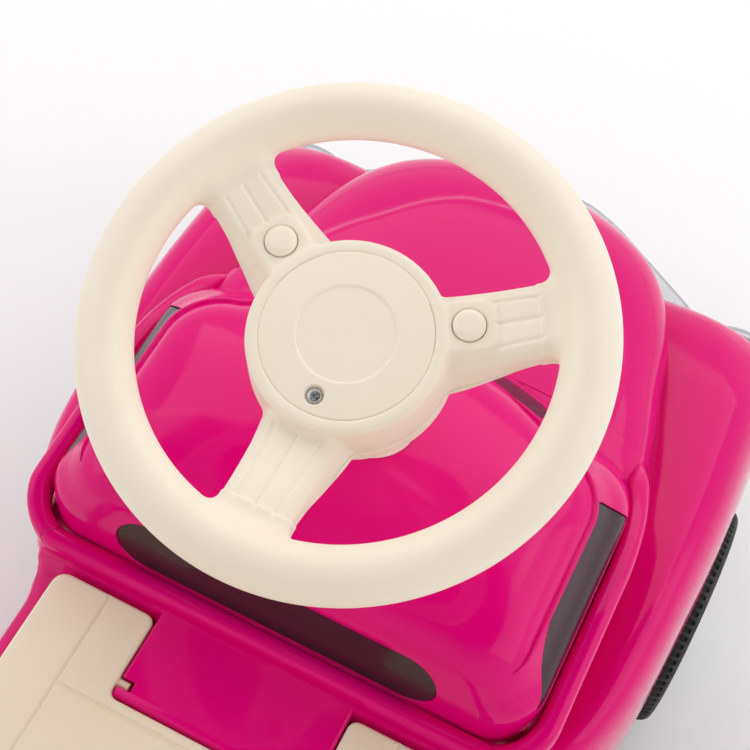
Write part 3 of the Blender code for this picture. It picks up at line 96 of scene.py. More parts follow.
# Raised panel in the middle of the hood: (distance from the middle, y of its edge)
PANEL_EDGE = [
    (0.000, -0.246), (0.022, -0.241), (0.036, -0.232), (0.056, -0.210), (0.073, -0.189),
    (0.080, -0.172), (0.084, -0.150),
]
PANEL_HALF = 0.0845
PANEL_RISE = 0.0026
PANEL_SOFTNESS = 0.0022
# Height over the body's edge in which the panel fades in
PANEL_FADE = 0.012

# Belt roll
ROLL_HALF_WIDTH = 0.0049
ROLL_HALF_HEIGHT = 0.0082
ROLL_X = 0.1138
ROLL_FRONT_X = 0.1030
ROLL_REAR_Y = 0.0042
ROLL_SIDE_Z = 0.224
ROLL_REAR_Z = 0.2135
ROLL_FRONT_Y = -0.149
ROLL_CORNER = 0.020
ROLL_BOXINESS = 0.72
TAPER_RINGS = 14.0

# Cab: (height, half width, front y, rear y)
CAB_LEVELS = [
    (0.212, 0.1084, -0.1635, 0.0000), (0.233, 0.1086, -0.1480, -0.0018),
    (0.245, 0.1015, -0.1385, -0.0042), (0.255, 0.0952, -0.1305, -0.0072),
    (0.2610, 0.0900, -0.1230, -0.0130), (0.2655, 0.0790, -0.1100, -0.0240),
    (0.2695, 0.0480, -0.0880, -0.0460), (0.2702, 0.0220, -0.0745, -0.0600),
]
ROOF_HEIGHT = CAB_LEVELS[-2][0]
CAB_FOOT = 0.200
CAB_FRONT_BOW = 0.020
CAB_FRONT_CORNER = 0.026
CAB_REAR_CORNER = 0.020
PANE_THICKNESS = 0.0018
PANE_SINK = 0.0004
# Side window: (y, height, radius of the corner)
SIDE_WINDOW = [
    (-0.107, 0.2335, 0.002), (-0.0985, 0.2525, 0.004), (-0.047, 0.2525, 0.004), (-0.034, 0.2490, 0.010),
    (-0.012, 0.2335, 0.003),
]
REAR_WINDOW_HALF = 0.0705
REAR_WINDOW_Z = (0.2200, 0.2500)
WINDSHIELD_HALF = 0.062
WINDSHIELD_Z = (0.2300, 0.2520)
RAIL_RADIUS = 0.0013
RAIL_Z = 0.2540

# Wheels
TYRE_RADIUS = 0.060
TYRE_WIDTH = 0.034
TYRE_OUTER_X = 0.1615
RIM_RADIUS = 0.046
HUBCAP_RADIUS = 0.030
AXLE_RADIUS = 0.004
AXLE_Z = TYRE_RADIUS
FRONT_WHEEL_Y = -0.162
REAR_WHEEL_Y = 0.190
ARCH_HALF_LENGTH = 0.080
ARCH_HEIGHT = 0.0715
ARCH_INNER_X = 0.086
ARCH_OUTER_X = 0.200
REAR_ARCH_RADIUS = 0.068
REAR_ARCH_X = (0.092, 0.198)
TREAD_RIBS = 84
TREAD_DEPTH = 0.0017
TREAD_EDGE = 0.0034
TYRE_ROWS = 84
DISC_Z = -0.0120
AXLE_END_Z = -0.0062

# Fenders: (y, outer x, crown height, height of the lower edge)
FENDER_WALL = 0.0024
FENDER_INSET = 0.012
FENDER_ROUND = 0.0030
FENDER_OVERLAP = 0.0010
FRONT_FENDER = [
    (-0.275, 0.126, 0.149, 0.104), (-0.271, 0.137, 0.159, 0.094), (-0.260, 0.148, 0.171, 0.083),
    (-0.240, 0.153, 0.181, 0.074), (-0.212, 0.155, 0.188, 0.070), (-0.165, 0.155, 0.192, 0.070),
    (-0.105, 0.152, 0.194, 0.070), (-0.062, 0.148, 0.193, 0.071), (-0.030, 0.139, 0.188, 0.077),
    (-0.010, 0.127, 0.181, 0.088), (0.001, 0.117, 0.172, 0.100), (0.007, 0.109, 0.162, 0.114),
]
REAR_FENDER = [
    (0.108, 0.107, 0.150, 0.110), (0.114, 0.119, 0.161, 0.098), (0.132, 0.137, 0.173, 0.084),
    (0.160, 0.151, 0.181, 0.073), (0.195, 0.154, 0.182, 0.070), (0.232, 0.152, 0.177, 0.072),
    (0.262, 0.145, 0.166, 0.079), (0.282, 0.131, 0.150, 0.090), (0.291, 0.116, 0.137, 0.101),
]
# (row number, share across, share of the height)
FENDER_SECTION = [
    (0, 0.0, 0.93), (1, 0.30, 0.98), (2, 0.52, 1.0), (3, 0.70, 0.975), (4, 0.84, 0.90), (5, 0.94, 0.74),
    (6, 1.0, 0.48),
]

# Lights and bumpers
HEADLIGHT_X = 0.125
HEADLIGHT_Z = 0.122
HEADLIGHT_RADIUS = 0.0235
LENS_RADIUS = 0.0172
POD_WALL = 0.001
POD_LENGTH = 0.030
FLUTE_PITCH = 0.0022
RING_PITCH = 0.0030
HEADLIGHT_FACE_Y = FRONT_FENDER[0][0] - 2.0 * GAP
TAIL_X = 0.122
TAIL_Z = 0.122
TAIL_RADIUS = 0.0150
TAIL_FACE_Y = REAR_FENDER[-1][0] + 0.002
HALF_LENGTH = 0.3200
BUMPER_ROUND = 0.005
BUMPER_FULLNESS = 0.62
BUMPER_CHANNEL = (0.0016, 0.0042)
BUMPER_EDGE = 0.0015
FRONT_BUMPER_Z = (0.113, 0.150)
FRONT_BUMPER_BACK = HALF_LENGTH + FRONT_FENDER[0][0] - GAP
FRONT_BUMPER = [
    (0.000, 0.0000), (0.022, 0.0022), (0.040, 0.0082), (0.060, 0.0190), (0.078, 0.0292), (0.090, 0.0360),
    (0.0965, 0.0400),
]
FRONT_RETURNS = [(0.0945, FRONT_BUMPER_BACK), (0.0650, FRONT_BUMPER_BACK), (0.0, 0.0240)]
REAR_BUMPER_Z = (0.090, 0.122)
REAR_BUMPER_BACK = HALF_LENGTH - REAR_FENDER[-1][0] - GAP
REAR_BUMPER = [
    (0.000, 0.0000), (0.024, 0.0008), (0.048, 0.0038), (0.070, 0.0092), (0.086, 0.0156), (0.0955, 0.0218),
]
REAR_RETURNS = [(0.0940, REAR_BUMPER_BACK), (0.0600, REAR_BUMPER_BACK), (0.0, 0.0170)]

# Seat lid and backrest
LID_HALF = 0.0896
LID_FRONT_Y = 0.014
LID_REAR_Y = 0.215
LID_TOP_Z = 0.215
LID_SKIRT = 0.0087
LID_WALL = 0.0028
LID_CORNER = 0.008
LID_PLAY = 0.0005
# (height over the lid's lower edge, inset)
LID_PROFILE = [
    (0.0, 0.0004), (0.0005, 0.0), (0.0068, 0.0), (0.0077, 0.0002), (0.0083, 0.0006), (0.0086, 0.0011),
    (0.0087, 0.0017),
]
# Radii of the rear, front, mouth and inner corners of the lid and of its hollow
LID_BENDS = (0.011, 0.007, 0.0048, 0.004)
HOLLOW_BENDS = (0.008, 0.004, 0.001, 0.005)
GROOVE_X = 0.065
GROOVE_Y = 0.055
# Across a groove: (place, height)
GROOVE_SECTION = [
    (-0.00102, 0.01), (-0.00102, 0.0), (-0.00054, -0.00056), (0.0, -0.0008), (0.00054, -0.00056),
    (0.00102, 0.0), (0.00102, 0.01),
]
NOTCH_HALF = 0.0441
NOTCH_DEPTH = 0.0360
HINGE_Y = 0.043
HINGE_Z = 0.211
HINGE_PIN_RADIUS = 0.0019
HINGE_PIN_LENGTH = 0.0050
TONGUE_TOP_Z = 0.2145
TONGUE_LOW_Z = 0.2010
TONGUE_PLAY = 0.0007
BACKREST_BOTTOM_HALF = 0.078
BACKREST_TOP_HALF = 0.062
BACKREST_TOP_Z = 0.338
BACKREST_THICKNESS = 0.016
BACKREST_Y = 0.229
BACKREST_LEAN = 8.0
BACKREST_FOOT_Z = 0.2073
BACKREST_ROUND = 0.0042
HANDLE_HALF = 0.040
HANDLE_Z = (BACKREST_TOP_Z - 0.046, BACKREST_TOP_Z - 0.022)
# Handle gap through the panel: (y, inset)
HANDLE_RIMS = [
    (-0.0085, -0.0030), (-0.0062, -0.0008), (-0.0040, 0.0), (0.0040, 0.0), (0.0062, -0.0008),
    (0.0085, -0.0030),
]
PRESS_HALF = 0.052
PRESS_Z = (0.018, 0.062)

# Steering wheel, in its own frame: Z runs up the column, +Y towards the driver
STEER_TILT = math.radians(15.19)
COLUMN_LENGTH = 0.2995
CRANK_Y = FRONT_WHEEL_Y + 0.0296
CRANK_HEIGHT = 0.0781
BODY_HOLE_RADIUS = 0.0160
ROOF_HOLE_RADIUS = 0.0165
WHEEL_CENTRE = Vector((0.0, CRANK_Y + COLUMN_LENGTH * math.sin(STEER_TILT),
                       CRANK_HEIGHT + COLUMN_LENGTH * math.cos(STEER_TILT)))
TO_COLUMN = Matrix.Translation(WHEEL_CENTRE) @ Matrix.Rotation(-STEER_TILT, 4, "X")
ROOF_Z = (ROOF_HEIGHT - WHEEL_CENTRE.z) / math.cos(STEER_TILT)


def linked(name, data):
    """A new object in the scene."""
    obj = bpy.data.objects.new(name, data)
    bpy.context.collection.objects.link(obj)
    return obj


def mesh_object(points, faces):
    """A mesh with its faces pointing out."""
    bm = bmesh.new()
    verts = [bm.verts.new(point) for point in points]
    for face in faces:
        bm.faces.new([verts[index] for index in face])
    bmesh.ops.recalc_face_normals(bm, faces=bm.faces)
    mesh = bpy.data.meshes.new("form")
    bm.to_mesh(mesh)
    bm.free()
    return linked("form", mesh)


def loft(rings):
    """Closed rings of equal length, joined in order, with flat ends."""
    count = len(rings[0])
    last = (len(rings) - 1) * count
    faces = []
    for start in range(0, last, count):
        for column in range(count):
            after = (column + 1) % count
            faces.append((start + column, start + after, start + count + after, start + count + column))
    faces.append(tuple(range(count)))
    faces.append(tuple(range(last, last + count)))
    return mesh_object([point for ring in rings for point in ring], faces)


def prism(outline, low, high):
    return loft([[(x, y, z) for x, y in outline] for z in (low, high)])


def across_car(outline, rows, axis="y"):
    """Loft of (x, z) outlines at y values, or of (y, z) outlines at x values."""
    if axis == "y":
        return loft([[(x, y, z) for x, z in grown(outline, size)] for y, size in rows])
    return loft([[(x, y, z) for y, z in grown(outline, size)] for x, size in rows])


def box(low, high):
    outline = [(low[0], low[1]), (high[0], low[1]), (high[0], high[1]), (low[0], high[1])]
    return prism(outline, low[2], high[2])


def arc(x, y, wide, tall, start, turn, steps):
    """Points of an oval arc round (x, y), from one angle through a turn, both in degrees."""
    angles = [math.radians(start + turn * step / steps) for step in range(steps + 1)]
    return [(x + wide * math.cos(angle), y + tall * math.sin(angle)) for angle in angles]


def oval(wide, tall, segments):
    return arc(0.0, 0.0, wide, tall, 0.0, 360.0, segments)[:-1]


def turned(profile, segments=96):
    """A closed outline of (radius, height), turned about Z; radius 0 lies on the axis."""
    points = []
    rows = []
    for radius, height in profile:
        count = segments if radius > 0.0 else 1
        rows.append(range(len(points), len(points) + count))
        points += [(x, y, height) for x, y in oval(radius, radius, segments)[:count]]
    closed = all(radius > 0.0 for radius, _ in profile)
    faces = []
    for row, following in zip(rows, rows[1:] + rows[:1] if closed else rows[1:]):
        for step in range(segments):
            face = []
            for ring, at in ((row, step), (row, step + 1), (following, step + 1), (following, step)):
                vertex = ring[at % len(ring)]
                if vertex not in face:
                    face.append(vertex)
            if len(face) > 2:
                faces.append(tuple(face))
    return mesh_object(points, faces)


def rounded(corners, steps=5):
    """An outline of (x, y, radius) corners as points, with its corners rounded."""
    result = []
    for index, (x, y, radius) in enumerate(corners):
        here = Vector((x, y))
        if radius <= 0.0:
            result.append(tuple(here))
            continue
        before = Vector(corners[index - 1][:2]) - here
        after = Vector(corners[(index + 1) % len(corners)][:2]) - here
        # Two neighbouring corners share the line between them
        reach = min(radius, before.length * CORNER_SHARE, after.length * CORNER_SHARE)
        start = here + before.normalized() * reach
        end = here + after.normalized() * reach
        for step in range(steps + 1):
            share = step / steps
            result.append(tuple(start * (1 - share) ** 2 + here * 2 * share * (1 - share) + end * share ** 2))
    return result


def mirrored(half_line):
    """A line on the +X side followed by its mirror image, the other way round."""
    return half_line + [(-point[0], *point[1:]) for point in reversed(half_line)]


def cylinder(radius, low, high, segments=48):
    return prism(oval(radius, radius, segments), low, high)


def place(obj, matrix):
    """Move the mesh itself, so that the object stays at the origin."""
    obj.data.transform(matrix)
    if matrix.determinant() < 0.0:
        obj.data.flip_normals()
    return obj


def moved(obj, x=0.0, y=0.0, z=0.0):
    return place(obj, Matrix.Translation((x, y, z)))


def on_side(obj, side):
    """Leave a form made for the left, or mirror it to the right."""
    if side < 0.0:
        place(obj, Matrix.Scale(-1.0, 4, (1.0, 0.0, 0.0)))
    return obj


def along_x(obj):
    return place(obj, Matrix.Rotation(math.radians(90.0), 4, "Y"))


def along_y(obj):
    return place(obj, Matrix.Rotation(math.radians(90.0), 4, "X"))


def applied(obj):
    """Make the result of the object's modifier its mesh."""
    bpy.context.view_layer.update()
    graph = bpy.context.evaluated_depsgraph_get()
    mesh = bpy.data.meshes.new_from_object(obj.evaluated_get(graph))
    obj.modifiers.clear()
    obj.data = mesh
    return obj


def combine(target, tool, operation):
    """Apply one Boolean and remove the tool."""
    modifier = target.modifiers.new("combine", "BOOLEAN")
    modifier.operation = operation
    modifier.object = tool
    modifier.solver = "EXACT"
    applied(target)
    bpy.data.objects.remove(tool, do_unlink=True)
    return target


def cut(target, *tools):
    for tool in tools:
        combine(target, tool, "DIFFERENCE")
    return target


def join(target, *tools):
    for tool in tools:
        combine(target, tool, "UNION")
    return target


def keep(target, tool):
    return combine(target, tool, "INTERSECT")


def value_at(table, at, column=1):
    """Smooth value between the rows of a table sorted by its first column."""
    if at <= table[0][0]:
        return table[0][column]
    if at >= table[-1][0]:
        return table[-1][column]
    index = max(row for row in range(len(table) - 1) if table[row][0] <= at)
    low, high = table[index], table[index + 1]
    span = high[0] - low[0]
    share = (at - low[0]) / span

    def slope(row):
        before, after = table[max(row - 1, 0)], table[min(row + 1, len(table) - 1)]
        here = table[row]
        if before is here or after is here:
            return (after[column] - before[column]) / (after[0] - before[0])
        left = (here[column] - before[column]) / (here[0] - before[0])
        right = (after[column] - here[column]) / (after[0] - here[0])
        if left * right <= 0.0:
            return 0.0
        return 2.0 * left * right / (left + right)

    start, end = slope(index) * span, slope(index + 1) * span
    square, cube = share ** 2, share ** 3
    return (low[column] * (2 * cube - 3 * square + 1) + start * (cube - 2 * square + share)
            + high[column] * (3 * square - 2 * cube) + end * (cube - square))


def spread(start, end, step):
    """Evenly spaced numbers from start to end, no further apart than step."""
    count = max(int(math.ceil((end - start) / step)), 1)
    return [start + (end - start) * index / count for index in range(count + 1)]


def soft_step(value):
    """0 below -1, 1 above +1, smooth between."""
    share = min(max(0.5 + 0.5 * value, 0.0), 1.0)
    return share * share * (3.0 - 2.0 * share)


def resampled(points, count):
    """The same open line with evenly spaced points."""
    lengths = [0.0]
    for before, after in zip(points, points[1:]):
        lengths.append(lengths[-1] + math.dist(before, after))
    result = []
    index = 0
    for step in range(count + 1):
        target = lengths[-1] * step / count
        while index < len(lengths) - 2 and lengths[index + 1] < target:
            index += 1
        span = lengths[index + 1] - lengths[index]
        share = (target - lengths[index]) / span if span > 0.0 else 0.0
        result.append(tuple(a + (b - a) * share for a, b in zip(points[index], points[index + 1])))
    return result


# Central body


def panel_relief(x, y):
    """Height of the hood's raised panel at one place of its top."""
    edge = value_at(PANEL_EDGE, abs(x))
    ahead = value_at(PANEL_EDGE, abs(x) + 0.0005)
    lean = (ahead - edge) / 0.0005
    away = (y - edge) / math.sqrt(1.0 + lean * lean)
    return PANEL_RISE * (soft_step(away / PANEL_SOFTNESS) - 1.0) if abs(x) < PANEL_HALF else -PANEL_RISE


def body_ring(y, at, inset, bottom, steps, relief=False):
    """Section of the body across the car at one y, with the sizes that its tables give at another."""
    side = value_at(BODY_WIDTHS, at) - inset
    crown = value_at(BODY_CROWNS, at) - inset
    edge = min(value_at(BODY_EDGES, at), crown - LEAST_CROWN)
    slope = value_at(BODY_SLOPES, at)
    power = 2.0 / value_at(BODY_SQUARENESS, at)
    half = side - slope
    fine = []
    for step in range(TOP_SAMPLES + 1):
        angle = math.pi / 2.0 * (1.0 - step / TOP_SAMPLES)
        fine.append((half * math.sin(angle) ** power,
                     edge + (crown - edge) * max(math.cos(angle), 0.0) ** power))
    top = resampled(fine, steps)
    right = [(side, bottom), (side, edge - slope * SLOPE_STEEPNESS)] + top
    if relief:
        right = right[:2] + [(x, z + panel_relief(x, y) * soft_step((z - edge) / PANEL_FADE * 2.0 - 1.0))
                             for x, z in right[2:]]
    left = [(-x, z) for x, z in reversed(right[:-1])]
    return [(x, y, z) for x, z in right + left]


def body_form(start, end, inset, bottom, step=BODY_STEP, steps=TOP_STEPS, relief=False):
    """Solid of the body between two y values, smaller all round by inset."""
    nose, tail = BODY_CROWNS[0][0], BODY_CROWNS[-1][0]
    rings = []
    for y in spread(start, end, step):
        shifted = min(max(y, nose + inset), tail - inset) if inset > 0.0 else y
        if rings and shifted - rings[-1][0][1] < step * LEAST_STEP:
            continue
        rings.append(body_ring(shifted, y, inset, bottom, steps, relief))
    return loft(rings)


def grown_body(start, end, grow=GAP):
    """The body between two y values, larger by the gap, to cut its neighbours."""
    nose, tail = BODY_CROWNS[0][0], BODY_CROWNS[-1][0]
    rings = [body_ring(y, y, -grow, BODY_BOTTOM_Z - 0.02, 24)
             for y in spread(max(start, nose), min(end, tail), 0.004)]
    if start < nose:
        rings[0] = [(x, nose - grow, z) for x, _, z in rings[0]]
    if end > tail:
        rings[-1] = [(x, tail + grow, z) for x, _, z in rings[-1]]
    return loft(rings)


def roll_path():
    """Middle line of the belt roll, from the left front round the back to the right front."""
    radius = ROLL_CORNER
    left = [
        (ROLL_FRONT_X, ROLL_FRONT_Y, ROLL_SIDE_Z - 0.0165),
        (ROLL_FRONT_X + 0.0038, -0.133, ROLL_SIDE_Z - 0.0115),
        (ROLL_X - 0.0025, -0.114, ROLL_SIDE_Z - 0.0058), (ROLL_X - 0.0002, -0.092, ROLL_SIDE_Z - 0.0014),
        (ROLL_X, -0.066, ROLL_SIDE_Z), (ROLL_X, -0.036, ROLL_SIDE_Z - 0.0012),
    ]
    corner_z = ROLL_SIDE_Z - 0.0020
    for step in range(7):
        angle = math.radians(15.0 * step)
        drop = soft_step(step / 3.0 - 1.0)
        x = ROLL_X - radius * (1.0 - math.cos(angle))
        y = ROLL_REAR_Y - radius * (1.0 - math.sin(angle))
        left.append((x, y, corner_z + (ROLL_REAR_Z - corner_z) * drop))
    left.append((0.040, ROLL_REAR_Y, ROLL_REAR_Z))
    return mirrored(left)


def smooth_line(points, step):
    """Catmull-Rom line through the points, evenly resampled."""
    ends = [points[0]] + list(points) + [points[-1]]
    fine = []
    for index in range(1, len(ends) - 2):
        p0, p1, p2, p3 = (Vector(ends[index + shift]) for shift in (-1, 0, 1, 2))
        for sub in range(12):
            t = sub / 12.0
            fine.append(tuple(0.5 * ((2 * p1) + (p2 - p0) * t + (2 * p0 - 5 * p1 + 4 * p2 - p3) * t ** 2
                                     + (3 * p1 - p0 - 3 * p2 + p3) * t ** 3)))
    fine.append(tuple(points[-1]))
    length = sum(math.dist(a, b) for a, b in zip(fine, fine[1:]))
    return [Vector(point) for point in resampled(fine, int(length / step))]


def swept_oval(path, across, up, sides, boxiness=1.0):
    """An oval bead along a path, with its height straight up; a boxiness under 1 squares it."""
    rings = []
    for index, point in enumerate(path):
        forward = path[min(index + 1, len(path) - 1)] - path[max(index - 1, 0)]
        forward.z = 0.0
        forward.normalize()
        side = Vector((forward.y, -forward.x, 0.0))
        # Both ends of the bead are rounded off
        from_end = min(index, len(path) - 1 - index)
        size = math.sin(math.pi / 2.0 * min((from_end + 0.8) / TAPER_RINGS, 1.0))
        ring = []
        for step in range(sides):
            angle = 2.0 * math.pi * step / sides
            flat, tall = math.cos(angle), math.sin(angle)
            ring.append(point + side * across * size * math.copysign(abs(flat) ** boxiness, flat)
                        + Vector((0.0, 0.0, up * size * math.copysign(abs(tall) ** boxiness, tall))))
        rings.append(ring)
    return loft(rings)


def roll_form(grow, step=0.0016):
    path = smooth_line(roll_path(), step)
    return swept_oval(path, ROLL_HALF_WIDTH + grow, ROLL_HALF_HEIGHT + grow, 32, ROLL_BOXINESS)


def on_column(obj):
    """Move a form from the steering wheel's own frame into the car."""
    return place(obj, TO_COLUMN)


def column_cutter(radius):
    return on_column(cylinder(radius, -COLUMN_LENGTH - 0.03, ROOF_Z + 0.05, 64))


def arch_cutter(side):
    arch = arc(FRONT_WHEEL_Y, AXLE_Z, ARCH_HALF_LENGTH, ARCH_HEIGHT, 0.0, 360.0, 96)[:-1]
    return loft([[(side * x, y, z) for y, z in arch] for x in (ARCH_INNER_X, ARCH_OUTER_X)])


def rear_arch_cutter(side):
    low, high = sorted(side * x for x in REAR_ARCH_X)
    return moved(along_x(cylinder(REAR_ARCH_RADIUS, low, high, 96)), y=REAR_WHEEL_Y, z=AXLE_Z)


def rounded_rectangle(left, right, front, rear, radius, steps):
    corners = [(right - radius, rear - radius, 0.0), (left + radius, rear - radius, 90.0),
               (left + radius, front + radius, 180.0), (right - radius, front + radius, 270.0)]
    return [point for x, y, start in corners for point in arc(x, y, radius, radius, start, 90.0, steps)]


def make_hood():
    outer = body_form(BODY_CROWNS[0][0], HOOD_REAR_Y - SEAM / 2.0, 0.0, BODY_BOTTOM_Z, 0.0018, 58, True)
    inner = body_form(BODY_CROWNS[0][0], HOOD_REAR_Y + CUT_PAST, WALL + PANEL_RISE, BODY_BOTTOM_Z - CUT_PAST,
                      0.006, 16)
    return cut(outer, inner, arch_cutter(1.0), arch_cutter(-1.0))


def tongue_form():
    """The part of the body that reaches over the lid's notch."""
    half = NOTCH_HALF - TONGUE_PLAY
    rear = LID_FRONT_Y + NOTCH_DEPTH - TONGUE_PLAY
    profile = rounded([(0.002, TONGUE_LOW_Z, 0.0), (rear, TONGUE_LOW_Z, 0.002), (rear, TONGUE_TOP_Z, 0.004),
                       (0.004, TONGUE_TOP_Z, 0.002)], 6)
    rings = []
    for x, shrink in ((-half, 0.0012), (-half + 0.0004, 0.0005), (-half + 0.0012, 0.0),
                      (half - 0.0012, 0.0), (half - 0.0004, 0.0005), (half, 0.0012)):
        rings.append([(x, y, min(z, TONGUE_TOP_Z - shrink)) for y, z in profile])
    return loft(rings)


def make_main_body():
    tail = BODY_CROWNS[-1][0]
    front = HOOD_REAR_Y + SEAM / 2.0
    body = body_form(front, tail, 0.0, BODY_BOTTOM_Z)
    cut(body, body_form(front - CUT_PAST, tail, WALL, BODY_BOTTOM_Z - CUT_PAST, 0.008, 12))
    join(body, tongue_form())
    half, play = LID_HALF + LID_PLAY, LID_PLAY
    opening = prism(rounded_rectangle(-half, half, LID_FRONT_Y - play, LID_REAR_Y + play, LID_CORNER, 10),
                    0.185, 0.225)
    tongue_half = NOTCH_HALF - TONGUE_PLAY
    notch = box((-tongue_half, 0.0, 0.170), (tongue_half, LID_FRONT_Y + NOTCH_DEPTH - TONGUE_PLAY, 0.240))
    cut(body, cut(opening, notch))
    for side in (1.0, -1.0):
        slot = box((NOTCH_HALF - HINGE_PIN_LENGTH - 0.0019, HINGE_Y - HINGE_PIN_RADIUS - GAP,
                    HINGE_Z - HINGE_PIN_RADIUS - GAP),
                   (NOTCH_HALF + 0.006, HINGE_Y + HINGE_PIN_RADIUS + GAP, TONGUE_TOP_Z + 0.005))
        cut(body, on_side(slot, side))
        cut(body, arch_cutter(side), rear_arch_cutter(side))
    return cut(body, column_cutter(BODY_HOLE_RADIUS))


# Cab and windows


def cab_outline(half, front, rear, inset):
    """Plan outline of the cab: bowed front, rounded corners."""
    half, front, rear = half - inset, front + inset, rear - inset
    length = rear - front
    front_corner = min(CAB_FRONT_CORNER, half * 0.6, length * 0.3)
    rear_corner = min(CAB_REAR_CORNER, half * 0.6, length * 0.3)
    bow = min(CAB_FRONT_BOW, half * 0.25, length * 0.2)
    right = [(0.0, rear)]
    right += [((half - rear_corner) * step / 8.0, rear) for step in range(1, 8)]
    right += arc(half - rear_corner, rear - rear_corner, rear_corner, rear_corner, 90.0, -90.0, 12)
    side_front = front + bow + front_corner
    side_rear = rear - rear_corner
    right += [(half, side_rear + (side_front - side_rear) * step / 12.0) for step in range(1, 12)]
    right += arc(half - front_corner, side_front, front_corner, front_corner, 0.0, -78.0, 12)
    last_x, last_y = right[-1]
    for step in range(1, 12):
        share = step / 12.0
        right.append((last_x * (1.0 - share), front + (last_y - front) * (1.0 - share) ** 2))
    left = [(-x, y) for x, y in reversed(right[1:])]
    return right + [(0.0, front)] + left


CAB_ROWS = [(float(index), *row) for index, row in enumerate(CAB_LEVELS)]


def cab_level(at):
    """Height, half width, front and rear of the cab at a share of its rows."""
    return tuple(value_at(CAB_ROWS, at, column) for column in (1, 2, 3, 4))


def cab_form(inset, foot=None, steps=44):
    """Solid of the cab, smaller all round by inset."""
    rings = []
    for index, at in enumerate(spread(0.0, len(CAB_LEVELS) - 1.0, (len(CAB_LEVELS) - 1.0) / steps)):
        z, half, front, rear = cab_level(at)
        height = z - inset
        if index == 0:
            height = z if foot is None else foot
        rings.append([(x, y, height) for x, y in cab_outline(half, front, rear, inset)])
    return loft(rings)


def oval_window(half, low, high, steps=12):
    """A long window with round ends: points of (x, z)."""
    radius = (high - low) / 2.0
    return mirrored(arc(half - radius, (high + low) / 2.0, radius, radius, -90.0, 180.0, 2 * steps))


def grown(outline, amount):
    """An outline moved outwards by amount at each corner; negative makes it smaller."""
    count = len(outline)
    area = sum(outline[i][0] * outline[(i + 1) % count][1] - outline[(i + 1) % count][0] * outline[i][1]
               for i in range(count))
    sign = 1.0 if area > 0.0 else -1.0
    result = []
    for index in range(count):
        here = Vector(outline[index])
        before = (here - Vector(outline[index - 1])).normalized()
        after = (Vector(outline[(index + 1) % count]) - here).normalized()
        normal = Vector((before.y + after.y, -before.x - after.x)).normalized() * sign
        stretch = 1.0 / max(normal.dot(Vector((before.y, -before.x)) * sign), 0.4)
        result.append(tuple(here + normal * amount * stretch))
    return result


def window_cutter(which, grow):
    """A bar through one window, larger by grow."""
    if which == "rear_window":
        return across_car(oval_window(REAR_WINDOW_HALF, *REAR_WINDOW_Z), [(-0.045, grow), (0.030, grow)])
    if which == "windshield":
        return across_car(oval_window(WINDSHIELD_HALF, *WINDSHIELD_Z), [(-0.180, grow), (-0.098, grow)])
    side = 1.0 if which == "left_window" else -1.0
    return across_car(rounded(SIDE_WINDOW, 6), [(side * 0.083, grow), (side * 0.125, grow)], "x")


WINDOWS = ("windshield", "rear_window", "left_window", "right_window")


def rail_form(side):
    """Thin bead along the roof's edge over a side window."""
    at = min(spread(0.0, 5.0, 0.01), key=lambda share: abs(cab_level(share)[0] - RAIL_Z))
    z, half, front, rear = cab_level(at)
    outline = [(x, y) for x, y in cab_outline(half, front, rear, -0.0003) if x > 0.040 and y > front + 0.004]
    outline = [(x, y) for x, y in outline if y < rear - 0.008]
    path = smooth_line([(side * x, y, z) for x, y in outline], 0.0014)
    return swept_oval(path, RAIL_RADIUS, RAIL_RADIUS, 12)


def make_cab():
    cab = cut(cab_form(0.0), cab_form(WALL, foot=CAB_FOOT, steps=20))
    join(cab, rail_form(1.0), rail_form(-1.0))
    cut(cab, grown_body(-0.175, 0.012), roll_form(GAP, 0.004))
    for which in WINDOWS:
        cut(cab, window_cutter(which, 0.0))
    return cut(cab, column_cutter(ROOF_HOLE_RADIUS))


def make_pane(which):
    pane = cut(cab_form(PANE_SINK), cab_form(PANE_SINK + PANE_THICKNESS, foot=CAB_FOOT))
    return keep(pane, window_cutter(which, -GAP))


# Fenders, lights and bumpers


def fender_form(rows, side, inset, drop, step=0.003, steps=36):
    """Solid of a fender from sections across the car, with rounded ends."""
    first, last = rows[0][0], rows[-1][0]
    rings = []
    for y in spread(first, last, step):
        near = min(y - first, last - y)
        round_off = 0.0
        if near < FENDER_ROUND and inset == 0.0:
            round_off = FENDER_ROUND - math.sqrt(max(FENDER_ROUND ** 2 - (FENDER_ROUND - near) ** 2, 0.0))
        shifted = min(max(y, first + inset), last - inset)
        if rings and shifted - rings[-1][0][1] < step * LEAST_STEP:
            continue
        outer, crown, lower = (value_at(rows, y, column) for column in (1, 2, 3))
        inner = min(value_at(BODY_WIDTHS, y), outer) - FENDER_INSET
        outer, crown = outer - inset - round_off, crown - inset - round_off
        section = []
        for at in spread(0.0, FENDER_SECTION[-1][0], FENDER_SECTION[-1][0] / steps):
            across, share = value_at(FENDER_SECTION, at, 1), value_at(FENDER_SECTION, at, 2)
            section.append((side * (inner + (outer - inner) * across), lower + (crown - lower) * share))
        section = [(side * inner, lower - drop)] + resampled(section, steps) + [(side * outer, lower - drop)]
        rings.append([(x, shifted, z) for x, z in section])
    return loft(rings)


